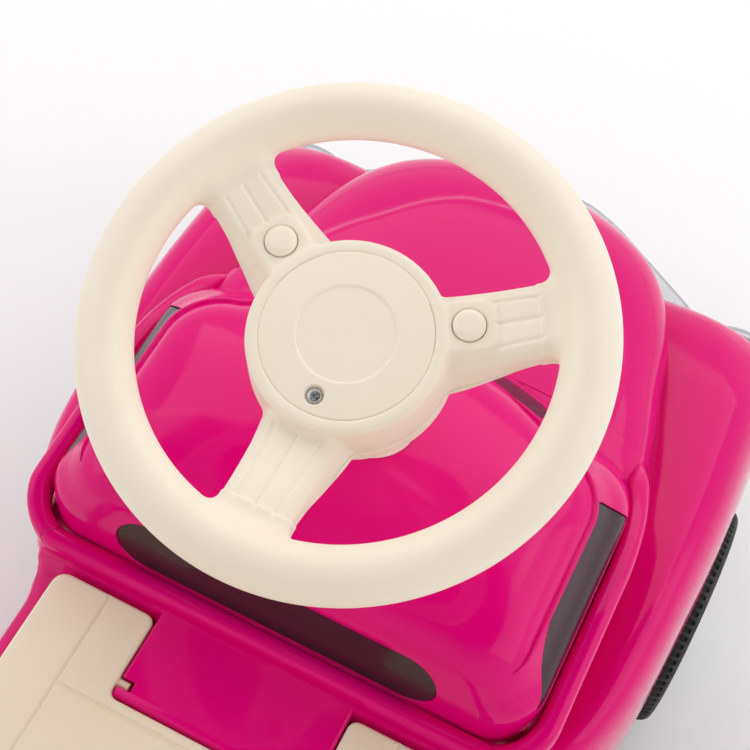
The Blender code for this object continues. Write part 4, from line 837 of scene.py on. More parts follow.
def make_fender(rows, side):
    front = rows is FRONT_FENDER
    if front:
        pod = moved(along_y(cylinder(HEADLIGHT_RADIUS + POD_WALL, 0.0, POD_LENGTH, 64)),
                    side * HEADLIGHT_X, HEADLIGHT_FACE_Y + POD_LENGTH + GAP, HEADLIGHT_Z)
    else:
        pod = moved(along_y(cylinder(TAIL_RADIUS + POD_WALL, 0.0, POD_LENGTH)),
                    side * TAIL_X, TAIL_FACE_Y - GAP, TAIL_Z)
    shell = join(fender_form(rows, side, 0.0, 0.0), pod)
    cut(shell, fender_form(rows, side, FENDER_WALL, CUT_PAST, 0.008, 14))
    cut(shell, grown_body(rows[0][0] - 0.012, rows[-1][0] + 0.012, -FENDER_OVERLAP))
    if front:
        return cut(shell, roll_form(GAP, 0.004), arch_cutter(side))
    return cut(shell, rear_arch_cutter(side))


def lens_form(radius, seat, dome):
    """A lens about Z: a flat disc as thick as its seat, with a dome on it."""
    round_face = arc(0.0, seat, radius, dome, 0.0, 84.0, 14)
    return turned([(0.0, 0.0), (radius, 0.0)] + round_face + [(0.0, seat + dome)])


def make_headlight(side):
    radius = HEADLIGHT_RADIUS
    rim = turned(rounded([
        (0.0175, 0.0, 0.0005), (radius, 0.0, 0.001), (radius + 0.0008, 0.004, 0.002),
        (radius - 0.0012, 0.0080, 0.003), (0.0198, 0.0092, 0.0015), (0.0175, 0.0070, 0.001),
    ], 6))
    lens = lens_form(LENS_RADIUS, 0.0060, 0.0056)
    for vertex in lens.data.vertices:
        if vertex.co.z > 0.0061:
            vertex.co.z += 0.00022 * math.sin(vertex.co.x * 2.0 * math.pi / FLUTE_PITCH)
    return [moved(along_y(part), side * HEADLIGHT_X, HEADLIGHT_FACE_Y, HEADLIGHT_Z) for part in (rim, lens)]


def make_tail_light(side):
    lens = lens_form(TAIL_RADIUS, 0.0036, 0.0047)
    for vertex in lens.data.vertices:
        reach = math.hypot(vertex.co.x, vertex.co.y)
        if vertex.co.z > 0.0037 and reach > 0.001:
            vertex.co.z -= 0.00018 * (1.0 - math.cos(reach * 2.0 * math.pi / RING_PITCH))
    place(along_y(lens), Matrix.Rotation(math.pi, 4, "Z"))
    return moved(lens, side * TAIL_X, TAIL_FACE_Y, TAIL_Z)


def make_bumper(rows, returns, end, heights):
    """A rounded bar along the end of the car, thinner towards its edges."""
    fine = [(x, value_at(rows, x)) for x in spread(0.0, rows[-1][0], 0.0025)]
    low, high = heights
    middle, half = (low + high) / 2.0, (high - low) / 2.0
    channel_depth, channel_half = BUMPER_CHANNEL
    deepest = returns[0][1] - BUMPER_EDGE
    rings = []
    for angle in range(-90, 91, 9):
        lift = math.sin(math.radians(angle))
        z = middle + half * math.copysign(abs(lift) ** BUMPER_FULLNESS, lift)
        shrink = BUMPER_ROUND * (1.0 - max(math.cos(math.radians(angle)), 0.0) ** BUMPER_FULLNESS)
        # A shallow channel runs along the middle of the bar
        channel = channel_depth * math.exp(-((z - middle) / channel_half) ** 2)
        plan = [(x * (1.0 - shrink / 0.1), min(behind + shrink + channel, deepest)) for x, behind in fine]
        half_ring = [(x, end * (HALF_LENGTH - behind), z) for x, behind in plan + returns]
        rings.append(half_ring + [(-x, y, z) for x, y, z in reversed(half_ring[1:-1])])
    y = end * HALF_LENGTH
    return cut(loft(rings), grown_body(min(y, y * 0.7), max(y, y * 0.7)))


# Seat lid and backrest


def lid_plan(inset, bends, steps):
    """Outline of the seat lid with its notch, smaller all round by inset."""
    half, front, rear = LID_HALF - inset, LID_FRONT_Y + inset, LID_REAR_Y - inset
    notch, deep = NOTCH_HALF + inset, LID_FRONT_Y + NOTCH_DEPTH + inset
    rear_bend, front_bend, mouth_bend, inner_bend = bends
    right = [(notch, deep, inner_bend), (notch, front, mouth_bend), (half, front, front_bend),
             (half, rear, rear_bend)]
    return rounded(mirrored(right), steps)


def make_seat_lid():
    low = LID_TOP_Z - LID_SKIRT
    plan = lid_plan(0.0, LID_BENDS, 8)
    lid = loft([[(x, y, low + height) for x, y in grown(plan, -inset)] for height, inset in LID_PROFILE])
    cut(lid, prism(lid_plan(LID_WALL, HOLLOW_BENDS, 5), low - CUT_PAST, LID_TOP_Z - LID_WALL))
    for side in (1.0, -1.0):
        pin = along_x(cylinder(HINGE_PIN_RADIUS, NOTCH_HALF - HINGE_PIN_LENGTH, NOTCH_HALF + 0.0014, 32))
        join(lid, moved(on_side(pin, side), y=HINGE_Y, z=HINGE_Z))
    # Two grooves run along the seat and one across it
    for side in (1.0, -1.0):
        cut(lid, loft([[(side * GROOVE_X + x, y, LID_TOP_Z + z) for x, z in GROOVE_SECTION]
                       for y in (LID_FRONT_Y - 0.01, LID_REAR_Y - 0.012)]))
    end = GROOVE_X + 0.0002
    groove = [(GROOVE_Y + y, LID_TOP_Z + z) for y, z in GROOVE_SECTION]
    return cut(lid, across_car(groove, [(-end, 0.0), (end, 0.0)], "x"))


def make_backrest():
    bottom, top, half = BACKREST_FOOT_Z, BACKREST_TOP_Z, BACKREST_TOP_HALF
    outline = rounded(mirrored([
        (BACKREST_BOTTOM_HALF, bottom, 0.004), (BACKREST_BOTTOM_HALF - 0.001, bottom + 0.052, 0.03),
        (half, top - 0.024, 0.03), (half - 0.010, top - 0.006, 0.012), (half - 0.026, top, 0.016),
    ]), 8)
    thick = BACKREST_THICKNESS / 2.0
    rings = []
    for angle in range(-90, 91, 10):
        lift = math.sin(math.radians(angle))
        inset = BACKREST_ROUND * (1.0 - math.cos(math.radians(angle))) ** 1.2
        y = thick * math.copysign(abs(lift) ** 0.8, lift)
        rings.append([(x, y, z - bottom) for x, z in grown(outline, -inset)])
    panel = loft(rings)
    handle = oval_window(HANDLE_HALF, HANDLE_Z[0] - bottom, HANDLE_Z[1] - bottom, 16)
    cut(panel, across_car(handle, [(y, -inset) for y, inset in HANDLE_RIMS]))
    # A shallow oval panel is pressed into the front face
    press = oval_window(PRESS_HALF, *PRESS_Z, 16)
    cut(panel, across_car(press, [(-0.0105, 0.0014), (-thick + 0.0002, 0.0006), (-thick + 0.0014, -0.0010)]))
    place(panel, Matrix.Rotation(-math.radians(BACKREST_LEAN), 4, "X"))
    moved(panel, y=BACKREST_Y, z=bottom)
    return cut(panel, box((-0.2, 0.15, 0.10), (0.2, 0.30, bottom + GAP)))


# Wheels


def make_tyre():
    """Tyre about Z with its outer face up: ribbed crown, plain shoulders."""
    width, bead = TYRE_WIDTH, RIM_RADIUS + 0.0002
    profile = rounded([
        (bead, -0.0024, 0.0008), (TYRE_RADIUS - 0.0036, -0.0004, 0.003), (TYRE_RADIUS, -0.0042, 0.004),
        (TYRE_RADIUS, -width + 0.0042, 0.004), (TYRE_RADIUS - 0.0036, -width + 0.0004, 0.003),
        (bead, -width + 0.0024, 0.0008),
    ], 9)
    fine = resampled(profile + [profile[0]], TYRE_ROWS)[:-1]
    steps = TREAD_RIBS * 8
    points = []
    for radius, height in fine:
        crown = soft_step(((width / 2.0 - TREAD_EDGE) - abs(height + width / 2.0)) / 0.0006)
        crown *= 1.0 if radius > TYRE_RADIUS - 0.0030 else 0.0
        for step in range(steps):
            angle = 2.0 * math.pi * step / steps
            dip = TREAD_DEPTH * crown * soft_step(-math.cos(angle * TREAD_RIBS) * 2.2)
            points.append(((radius - dip) * math.cos(angle), (radius - dip) * math.sin(angle), height))
    faces = []
    for row in range(len(fine)):
        here, below = row * steps, (row + 1) % len(fine) * steps
        for step in range(steps):
            after = (step + 1) % steps
            faces.append((here + step, here + after, below + after, below + step))
    return mesh_object(points, faces)


def make_rim():
    """Wheel disc about Z with its outer face up: a pressed dish."""
    bore, inner = AXLE_RADIUS + GAP, -TYRE_WIDTH
    seat = RIM_RADIUS - 0.0002
    return turned(rounded([
        (bore, inner + 0.0005, 0.0), (0.012, inner + 0.0005, 0.0), (0.012, -0.0180, 0.002),
        (RIM_RADIUS - 0.0045, -0.0180, 0.002), (RIM_RADIUS - 0.0035, inner + 0.0030, 0.0),
        (seat, inner + 0.0030, 0.0), (seat, -0.0032, 0.0006), (seat - 0.0012, -0.0022, 0.0012),
        (seat - 0.0030, -0.0030, 0.0018), (seat - 0.0062, -0.0072, 0.004),
        (HUBCAP_RADIUS + 0.0050, -0.0118, 0.003), (HUBCAP_RADIUS + 0.0015, DISC_Z, 0.0), (bore, DISC_Z, 0.0),
    ]), 128)


def make_hubcap():
    """Domed push-on cap with a raised middle and a rolled edge."""
    bore, low, roof = AXLE_RADIUS + GAP, DISC_Z + GAP, AXLE_END_Z + GAP
    return turned(rounded([
        (0.0, roof, 0.0), (bore, roof, 0.0), (bore, low, 0.0), (0.0080, low, 0.0), (0.0080, -0.0040, 0.0),
        (HUBCAP_RADIUS - 0.0025, -0.0100, 0.0), (HUBCAP_RADIUS, -0.0096, 0.0006),
        (HUBCAP_RADIUS - 0.0004, -0.0080, 0.0008), (HUBCAP_RADIUS - 0.0030, -0.0076, 0.0010),
        (0.0225, -0.0040, 0.006), (0.0165, -0.0016, 0.0016), (0.0130, -0.0018, 0.0012),
        (0.0112, -0.0004, 0.0014), (0.0060, 0.0008, 0.004), (0.0, 0.0010, 0.0),
    ]), 128)


def wheel_matrix(y, side):
    turn = Matrix.Rotation(math.radians(90.0) * side, 4, "Y")
    return Matrix.Translation((side * TYRE_OUTER_X, y, AXLE_Z)) @ turn


# Steering wheel, from distance fields in its own frame

WHEEL_RING_RADIUS = 0.0801
WHEEL_TUBE_RADIUS = 0.0098
SHELL = 0.0022
SHELL_GAP = 0.00015
HUB_RADIUS = 0.03375
HUB_FLARE = 0.0019
HUB_TOP_Z = -0.0016
HUB_BOTTOM_Z = -0.0345
HUB_BORE_RADIUS = 0.0276
COVER_RADIUS = 0.02925
COVER_THICKNESS = 0.0024
COVER_LEDGE_Z = HUB_TOP_Z - 0.0007
NECK_RADIUS = 0.0130
NECK_BOTTOM_Z = ROOF_Z - 0.0049
COLUMN_RADIUS = 0.0050
COLLAR_RADIUS = 0.0205
BUTTON_ANGLES = (60.0, 300.0)
BUTTON_DISTANCE = 0.0405
BUTTON_RADIUS = 0.00555
BUTTON_PLAY = 0.00022
PAD_TOP_Z = -0.0024
PAD_RADIUS = 0.0045
SCREW_DISTANCE = 0.0231
WELL_FLOOR_Z = HUB_TOP_Z - 0.0013
SHELL_SCREW_DISTANCE = 0.0590
SHELL_SCREW_RADIUS = 0.0040
SHELL_SCREW_Z = -0.0102
SPOKE_ANGLES = (60.0, 180.0, 300.0)
# Along a spoke: (distance from the axis, top, seam, underside, half width at the top, half width at the seam)
SPOKE_ROWS = [
    (0.020, -0.0064, -0.0225, -0.0262, 0.0128, 0.0182), (0.034, -0.0064, -0.0218, -0.0252, 0.0126, 0.0170),
    (0.048, -0.0040, -0.0170, -0.0205, 0.0124, 0.0148), (0.058, -0.0008, -0.0115, -0.0150, 0.0122, 0.0134),
    (0.066, 0.0010, -0.0072, -0.0115, 0.0122, 0.0131), (0.080, 0.0014, -0.0055, -0.0100, 0.0124, 0.0134),
]
# Seam between the shells: distances from the axis and heights
SEAM_LINE = ([0.033, 0.048, 0.058, 0.066, 0.072], [-0.0218, -0.0170, -0.0115, -0.0072, -0.0040])
GROOVE_ENDS = (0.0345, 0.0655)
FLARE_START = 0.0632
VOXEL = 0.00050
UPPER_TRIANGLES = 150000
LOWER_TRIANGLES = 60000


def union(a, b, radius=0.0):
    if radius <= 0.0:
        return np.minimum(a, b)
    return (np.maximum(radius, np.minimum(a, b))
            - np.hypot(np.maximum(radius - a, 0.0), np.maximum(radius - b, 0.0)))


def both(a, b, radius=0.0):
    return -union(-a, -b, radius)


def without(a, b, radius=0.0):
    return both(a, -b, radius)


def upto(value, width):
    """0 below 0, 1 above the width, straight between."""
    return np.clip(value / width, 0.0, 1.0)


def spoke_value(reach, column):
    """One column of the spoke's rows at the grid's distances from the axis."""
    fine = np.linspace(SPOKE_ROWS[0][0], SPOKE_ROWS[-1][0], 160)
    return np.interp(reach, fine, np.array([value_at(SPOKE_ROWS, at, column) for at in fine]))


def along_spoke(x, y, angle):
    """(across, along) of the grid's places, seen along one spoke."""
    turn = math.radians(180.0 - angle)
    return x * math.cos(turn) + y * math.sin(turn), -x * math.sin(turn) + y * math.cos(turn)


def spoke_field(u, v, z):
    """One spoke with three long grooves and the step line where the rim's flare begins."""
    top, seam, under, half_top, half_seam = (spoke_value(v, column) for column in range(1, 6))
    share = np.clip((top - z) / (top - seam), 0.0, 1.0)
    half = half_top + (half_seam - half_top) * share ** 1.3
    spoke = both(np.abs(u) - half, z - top, 0.0052)
    spoke = both(spoke, under - z, 0.0040)
    spoke = both(spoke, np.maximum(0.010 - v, v - 0.083))
    for side in (-1.0, 0.0, 1.0):
        middle = side * np.interp(v, [0.034, 0.066], [0.0085, 0.0069])
        depth = 0.00075 * np.exp(-((u - middle) / 0.00060) ** 2)
        depth = depth * upto(v - GROOVE_ENDS[0], 0.002) * upto(GROOVE_ENDS[1] - v, 0.002)
        spoke = spoke + depth * upto(z - top + 0.004, 0.003)
    return spoke - 0.00045 * upto(v - FLARE_START, 0.0004)


def pad_field(u, v, z):
    """The raised pad round a button."""
    plan = np.hypot(np.maximum(np.abs(u) - PAD_RADIUS, 0.0), np.maximum(v - 0.0445, 0.0)) - PAD_RADIUS
    return both(both(plan, z - PAD_TOP_Z, 0.0012), np.maximum(0.020 - v, -0.012 - z))


def wheel_grid():
    """Voxel size, first corner and coordinates of the grid round the wheel."""
    reach = WHEEL_RING_RADIUS + WHEEL_TUBE_RADIUS + 0.003
    step = VOXEL * 1.0
    across = np.arange(-reach, reach + step, step, dtype=np.float32)
    upward = np.arange(HUB_BOTTOM_Z - 0.003, 0.0125, step, dtype=np.float32)
    return step, (across[0], across[0], upward[0]), np.meshgrid(across, across, upward, indexing="ij")


def wheel_field(x, y, z, rho):
    """Distance field of the whole wheel, solid."""
    ring = np.hypot(rho - WHEEL_RING_RADIUS, z) - WHEEL_TUBE_RADIUS
    hub = both(rho - (HUB_RADIUS + HUB_FLARE * upto(HUB_TOP_Z - z, 0.020)), z - HUB_TOP_Z, 0.0020)
    hub = both(hub, HUB_BOTTOM_Z - z, 0.0060)
    spokes = reduce(union, (spoke_field(*along_spoke(x, y, angle), z) for angle in SPOKE_ANGLES))
    pads = reduce(union, (pad_field(*along_spoke(x, y, angle), z) for angle in BUTTON_ANGLES))
    solid = union(ring, spokes, 0.0050)
    solid = union(solid, pads, 0.0022)
    return union(solid, hub, 0.0016)


def meshed(field, step, corner, triangles):
    """Turn a distance field into a mesh of about that many triangles."""
    grid = openvdb.FloatGrid(1.0)
    grid.copyFromArray(np.ascontiguousarray(field.astype(np.float32)))
    grid.transform = openvdb.createLinearTransform(voxelSize=step)
    points, _, quads = grid.convertToPolygons(isovalue=0.0, adaptivity=0.0)
    points = (points + np.array(corner, dtype=np.float32)).astype(np.float32)
    quads = quads.astype(np.int32)
    a, b, c, d = (points[quads[:, column]] for column in range(4))
    volume = np.einsum("ij,ij->", a, np.cross(b, c)) + np.einsum("ij,ij->", a, np.cross(c, d))
    if volume < 0.0:
        quads = quads[:, ::-1].copy()
    mesh = bpy.data.meshes.new("field")
    mesh.vertices.add(len(points))
    mesh.vertices.foreach_set("co", points.ravel())
    mesh.loops.add(quads.size)
    mesh.loops.foreach_set("vertex_index", quads.ravel())
    mesh.polygons.add(len(quads))
    mesh.polygons.foreach_set("loop_start", np.arange(0, quads.size, 4, dtype=np.int32))
    mesh.update(calc_edges=True)
    obj = linked("field", mesh)
    modifier = obj.modifiers.new("thin", "DECIMATE")
    modifier.ratio = min(triangles / (2.0 * len(quads)), 1.0)
    return applied(obj)


def make_steering_wheel():
    """The two shells of the steering wheel."""
    step, corner, (x, y, z) = wheel_grid()
    rho = np.hypot(x, y)
    solid = wheel_field(x, y, z, rho)
    floor_z = HUB_BOTTOM_Z + SHELL - z
    inside = both(rho - HUB_BORE_RADIUS, np.maximum(floor_z, z - 0.05))
    shell = without(solid, union(np.maximum(solid + SHELL, floor_z), inside))
    well_half = (0.05 - COVER_LEDGE_Z) / 2.0
    well = both(rho - COVER_RADIUS - 0.0002, np.abs(z - (COVER_LEDGE_Z + 0.05) / 2.0) - well_half)
    shell = without(shell, well)
    for angle in BUTTON_ANGLES:
        u, v = along_spoke(x, y, angle)
        hole = both(np.hypot(u, v - BUTTON_DISTANCE) - BUTTON_RADIUS - BUTTON_PLAY, -0.012 - z)
        shell = without(shell, hole)
    for angle in SPOKE_ANGLES:
        u, v = along_spoke(x, y, angle)
        hole = both(np.hypot(u, v - SHELL_SCREW_DISTANCE) - SHELL_SCREW_RADIUS, z - SHELL_SCREW_Z)
        shell = without(shell, hole, 0.0004)
    seam = np.interp(rho, *SEAM_LINE)
    upper = both(shell, seam + SHELL_GAP - z, 0.0004)
    lower = both(shell, z - seam + SHELL_GAP, 0.0004)
    return [on_column(meshed(field, step, corner, triangles))
            for field, triangles in ((upper, UPPER_TRIANGLES), (lower, LOWER_TRIANGLES))]


def make_neck():
    """Cream neck that flares into the hub's underside."""
    low, hub = NECK_BOTTOM_Z, HUB_BOTTOM_Z
    bore = COLUMN_RADIUS + GAP
    profile = rounded([
        (bore, low, 0.0), (NECK_RADIUS - 0.0005, low, 0.0004), (NECK_RADIUS, low + 0.0008, 0.0004),
        (NECK_RADIUS, hub - 0.0130, 0.006), (0.0152, hub - 0.0060, 0.006), (0.0205, hub + 0.0004, 0.0),
        (bore, hub + 0.0004, 0.0),
    ], 8)
    return on_column(turned(profile))


def make_cover():
    """Battery cover with a fine step ring and the well for its screw."""
    top, radius = HUB_TOP_Z, COVER_RADIUS
    low, ledge = top - COVER_THICKNESS, COVER_LEDGE_Z + SHELL_GAP
    cover = turned(rounded([
        (0.0, low, 0.0), (0.0272, low, 0.0), (0.0272, ledge, 0.0), (radius, ledge, 0.0),
        (radius, top - 0.0003, 0.0002), (radius - 0.0005, top, 0.0004), (0.0180, top + 0.0006, 0.0003),
        (0.0171, top + 0.0006, 0.0003), (0.0166, top + 0.0001, 0.0002), (0.0158, top + 0.0001, 0.0005),
        (0.0, top + 0.0005, 0.0),
    ], 4), 160)
    floor_z, rim_z = WELL_FLOOR_Z, top + CUT_PAST
    well = turned([(0.0, floor_z), (0.00315, floor_z), (0.00315, top - 0.0003), (0.00350, top + 0.0003),
                   (0.00350, rim_z), (0.0, rim_z)], 48)
    return on_column(cut(cover, moved(well, y=SCREW_DISTANCE)))


def make_cross_screw(radius, seat, height, turn):
    """Pan head with a cross recess, about Z."""
    screw = turned(rounded([
        (0.0, seat, 0.0), (radius, seat, 0.0), (radius, seat + height * 0.45, 0.0003),
        (radius * 0.86, seat + height * 0.8, 0.0004), (radius * 0.5, seat + height, 0.0005),
        (0.0, seat + height * 1.05, 0.0),
    ], 4), 48)
    for quarter in (0.0, 90.0):
        rings = []
        for z, half, width in ((seat + height * 0.30, radius * 0.30, radius * 0.08),
                               (seat + height * 1.3, radius * 0.66, radius * 0.15)):
            rings.append([(-half, -width, z), (half, -width, z), (half, width, z), (-half, width, z)])
        cut(screw, place(loft(rings), Matrix.Rotation(math.radians(turn + quarter), 4, "Z")))
    return screw


def make_button(angle):
    top, collar = PAD_TOP_Z, BUTTON_RADIUS + 0.0010
    button = turned(rounded([
        (0.0, -0.0034, 0.0), (collar, -0.0045, 0.0), (collar, -0.0038, 0.0), (BUTTON_RADIUS, -0.0038, 0.0),
        (BUTTON_RADIUS, top + 0.0008, 0.0008), (BUTTON_RADIUS - 0.0017, top + 0.0020, 0.0008),
        (0.0, top + 0.0021, 0.0),
    ], 6), 64)
    place(moved(button, y=BUTTON_DISTANCE), Matrix.Rotation(math.radians(180.0 - angle), 4, "Z"))
    return on_column(button)


def make_collar():
    top, low = ROOF_Z + 0.0076, NECK_BOTTOM_Z - 0.003
    bore = NECK_RADIUS + 2.0 * GAP
    profile = rounded([
        (bore, low, 0.0), (0.0160, low, 0.0), (0.0160, ROOF_Z - 0.0036, 0.0),
        (COLLAR_RADIUS, ROOF_Z - 0.0036, 0.0), (COLLAR_RADIUS, ROOF_Z + 0.0030, 0.0020),
        (0.0188, top - 0.0020, 0.0016), (0.0165, top, 0.0010), (bore + 0.0006, top, 0.0003),
        (bore, top - 0.0008, 0.0003),
    ])
    return cut(on_column(turned(profile)), cab_form(-GAP, foot=CAB_FOOT, steps=24))


# Looks


def new_material(name, colour, roughness, metallic=0.0):
    material = bpy.data.materials.new(name)
    material.use_nodes = True
    shader = material.node_tree.nodes["Principled BSDF"]
    shader.inputs["Base Color"].default_value = (*colour, 1.0)
    shader.inputs["Roughness"].default_value = roughness
    shader.inputs["Metallic"].default_value = metallic
    return material, material.node_tree, shader


def node_of(tree, kind, **inputs):
    node = tree.nodes.new(kind)
    for key, value in inputs.items():
        node.inputs[key.replace("_", " ")].default_value = value
    return node


def noise(tree, scale, detail, roughness=0.55, distortion=0.0, stretch=None):
    """Noise in the car's metres."""
    place_on_car = tree.nodes.new("ShaderNodeTexCoord").outputs["Object"]
    texture = node_of(tree, "ShaderNodeTexNoise", Scale=scale, Detail=detail, Roughness=roughness,
                      Distortion=distortion)
    if stretch is not None:
        mapping = node_of(tree, "ShaderNodeMapping", Scale=stretch)
        tree.links.new(place_on_car, mapping.inputs["Vector"])
        place_on_car = mapping.outputs["Vector"]
    tree.links.new(place_on_car, texture.inputs["Vector"])
    return texture.outputs["Fac"]


def ranged(tree, value, low, high, from_low, from_high):
    """A value brought from one range to another and kept inside it."""
    node = node_of(tree, "ShaderNodeMapRange", From_Min=from_low, From_Max=from_high, To_Min=low, To_Max=high)
    tree.links.new(value, node.inputs["Value"])
    return node.outputs["Result"]


def tinted(tree, shader, factor, first, second):
    """Base colour between two colours, by a factor that varies over the surface."""
    mix = tree.nodes.new("ShaderNodeMix")
    mix.data_type = "RGBA"
    colours = {"A": first, "B": second}
    for socket in mix.inputs:
        if socket.type == "RGBA":
            socket.default_value = (*colours[socket.name], 1.0)
    tree.links.new(factor, mix.inputs["Factor"])
    result = next(socket for socket in mix.outputs if socket.type == "RGBA")
    tree.links.new(result, shader.inputs["Base Color"])


def roughened(tree, shader, low, high, pattern, from_low=0.3, from_high=0.7):
    """Roughness between low and high, by a noise pattern of (scale, detail, roughness)."""
    value = ranged(tree, noise(tree, *pattern), low, high, from_low, from_high)
    tree.links.new(value, shader.inputs["Roughness"])


def bumped(tree, shader, heights, bevel=0.0):
    """Chain bumps of (height, strength, distance) over rounded edges."""
    last = None
    if bevel > 0.0:
        node = node_of(tree, "ShaderNodeBevel", Radius=bevel)
        node.samples = 6
        last = node.outputs["Normal"]
    for height, strength, distance in heights:
        bump = node_of(tree, "ShaderNodeBump", Strength=strength, Distance=distance)
        tree.links.new(height, bump.inputs["Height"])
        if last is not None:
            tree.links.new(last, bump.inputs["Normal"])
        last = bump.outputs["Normal"]
    tree.links.new(last, shader.inputs["Normal"])


def scratches(tree, scale, amount):
    """Sparse fine marks: 0 nearly everywhere, 1 on a mark."""
    product = tree.nodes.new("ShaderNodeMath")
    product.operation = "MULTIPLY"
    fine = noise(tree, scale, 2.0, 0.5, 0.6, (1.0, 0.12, 0.4))
    patch = noise(tree, scale * 0.12, 2.0)
    tree.links.new(ranged(tree, fine, 0.0, 1.0, 0.668, 0.700), product.inputs[0])
    tree.links.new(ranged(tree, patch, 0.0, amount, 0.52, 0.66), product.inputs[1])
    return product.outputs["Value"]


def gloss_plastic(name, colour, dark, edge):
    material, tree, shader = new_material(name, colour, 0.10)
    shader.inputs["IOR"].default_value = 1.28
    tinted(tree, shader, noise(tree, 9.0, 3.0), colour, dark)
    roughened(tree, shader, 0.075, 0.150, (55.0, 5.0, 0.6), 0.35, 0.70)
    bumped(tree, shader, [(noise(tree, 260.0, 2.0), 0.020, 0.0003), (noise(tree, 24.0, 2.0), 0.03, 0.0008),
                          (scratches(tree, 420.0, 0.9), 0.05, 0.0002)], edge)
    return material


def matte_plastic(name, light, dark, roughness, grain=0.10):
    material, tree, shader = new_material(name, light, roughness)
    tinted(tree, shader, ranged(tree, noise(tree, 16.0, 4.0), 0.0, 1.0, 0.35, 0.72), light, dark)
    roughened(tree, shader, roughness - 0.08, roughness + 0.10, (90.0, 5.0, 0.65))
    bumped(tree, shader, [(noise(tree, 2600.0, 3.0), grain, 0.0002), (noise(tree, 60.0, 2.0), 0.05, 0.0006),
                          (scratches(tree, 300.0, 0.5), 0.10, 0.0003)], 0.0004)
    return material


def trim_metal(name, light, dark, metallic, roughness, edge=0.0006):
    material, tree, shader = new_material(name, light, roughness, metallic)
    tinted(tree, shader, noise(tree, 40.0, 3.0), light, dark)
    roughened(tree, shader, roughness - 0.03, roughness + 0.05, (120.0, 4.0, 0.55))
    marks = scratches(tree, 380.0, 1.0)
    bumped(tree, shader, [(noise(tree, 900.0, 3.0), 0.03, 0.0001), (marks, 0.06, 0.0001)], edge)
    return material


def rubber(name):
    material, tree, shader = new_material(name, (0.018, 0.018, 0.019), 0.62)
    dust = ranged(tree, noise(tree, 70.0, 5.0, 0.7), 0.0, 0.55, 0.42, 0.75)
    tinted(tree, shader, dust, (0.014, 0.014, 0.015), (0.050, 0.049, 0.048))
    roughened(tree, shader, 0.50, 0.78, (220.0, 4.0))
    bumped(tree, shader, [(noise(tree, 1800.0, 3.0), 0.15, 0.0002), (noise(tree, 150.0, 3.0), 0.10, 0.0004)],
           0.0004)
    return material


def smoked_pane(name):
    material, tree, shader = new_material(name, (0.045, 0.016, 0.024), 0.16)
    shader.inputs["IOR"].default_value = 1.38
    tinted(tree, shader, noise(tree, 20.0, 2.0), (0.052, 0.018, 0.027), (0.036, 0.013, 0.019))
    roughened(tree, shader, 0.16, 0.28, (140.0, 4.0))
    bumped(tree, shader, [(noise(tree, 40.0, 2.0), 0.06, 0.0008)], 0.0005)
    return material


def clear_plastic(name, colour, transmission):
    material, tree, shader = new_material(name, colour, 0.06)
    shader.inputs["Transmission Weight"].default_value = transmission
    shader.inputs["IOR"].default_value = 1.49
    roughened(tree, shader, 0.03, 0.10, (160.0, 4.0))
    bumped(tree, shader, [(noise(tree, 50.0, 2.0), 0.04, 0.0006)])
    return material


def board(name):
    material, tree, shader = new_material(name, (0.015, 0.11, 0.045), 0.42)
    bricks = node_of(tree, "ShaderNodeTexBrick", Scale=140.0, Color1=(0.015, 0.11, 0.045, 1.0),
                     Color2=(0.012, 0.09, 0.038, 1.0), Mortar=(0.05, 0.20, 0.08, 1.0))
    coordinates = tree.nodes.new("ShaderNodeTexCoord")
    tree.links.new(coordinates.outputs["Object"], bricks.inputs["Vector"])
    tree.links.new(bricks.outputs["Color"], shader.inputs["Base Color"])
    bumped(tree, shader, [(bricks.outputs["Fac"], 0.15, 0.0002)])
    return material


# (slot, kind of look, its values)
LOOK_ROWS = [
    ("magenta_body", gloss_plastic, (0.76, 0.0005, 0.178), (0.70, 0.0005, 0.160), 0.0006),
    ("smoked_window", smoked_pane),
    ("silver_trim", trim_metal, (0.47, 0.48, 0.50), (0.43, 0.44, 0.46), 0.62, 0.27),
    ("clear_lens", clear_plastic, (0.88, 0.90, 0.92), 0.55),
    ("red_lens", clear_plastic, (0.46, 0.008, 0.008), 0.25),
    ("black_plastic", matte_plastic, (0.022, 0.022, 0.024), (0.014, 0.014, 0.015), 0.48),
    ("steel", trim_metal, (0.56, 0.56, 0.57), (0.42, 0.42, 0.43), 1.0, 0.28, 0.0003),
    ("cream_wheel", matte_plastic, (0.90, 0.805, 0.68), (0.86, 0.76, 0.63), 0.42, 0.06),
    # The seat cream is a darker copy of the wheel's cream: its own colour with painted shade for the lid,
    # which sits lower and in shade
    ("cream_seat", matte_plastic, (0.85, 0.735, 0.57), (0.80, 0.68, 0.515), 0.44, 0.09),
    ("black_tyre", rubber),
    ("cell_wrap", trim_metal, (0.10, 0.10, 0.11), (0.07, 0.07, 0.08), 0.3, 0.32, 0.0003),
    ("circuit_board", board),
]
LOOKS = {slot: kind(slot, *values) for slot, kind, *values in LOOK_ROWS}


# Pieces


def add(obj, name, slot, body, *nodes, sharp=32.0):
    """Name a finished piece, give it its looks and hide the CAD pieces it stands for."""
    obj.name = name
    obj.data.name = name
    obj.data.materials.clear()
    obj.data.materials.append(LOOKS[slot])
    obj.data.shade_smooth()
    obj.data.set_sharp_from_angle(angle=math.radians(sharp))
    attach(obj, body)
    if nodes:
        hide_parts(*nodes)


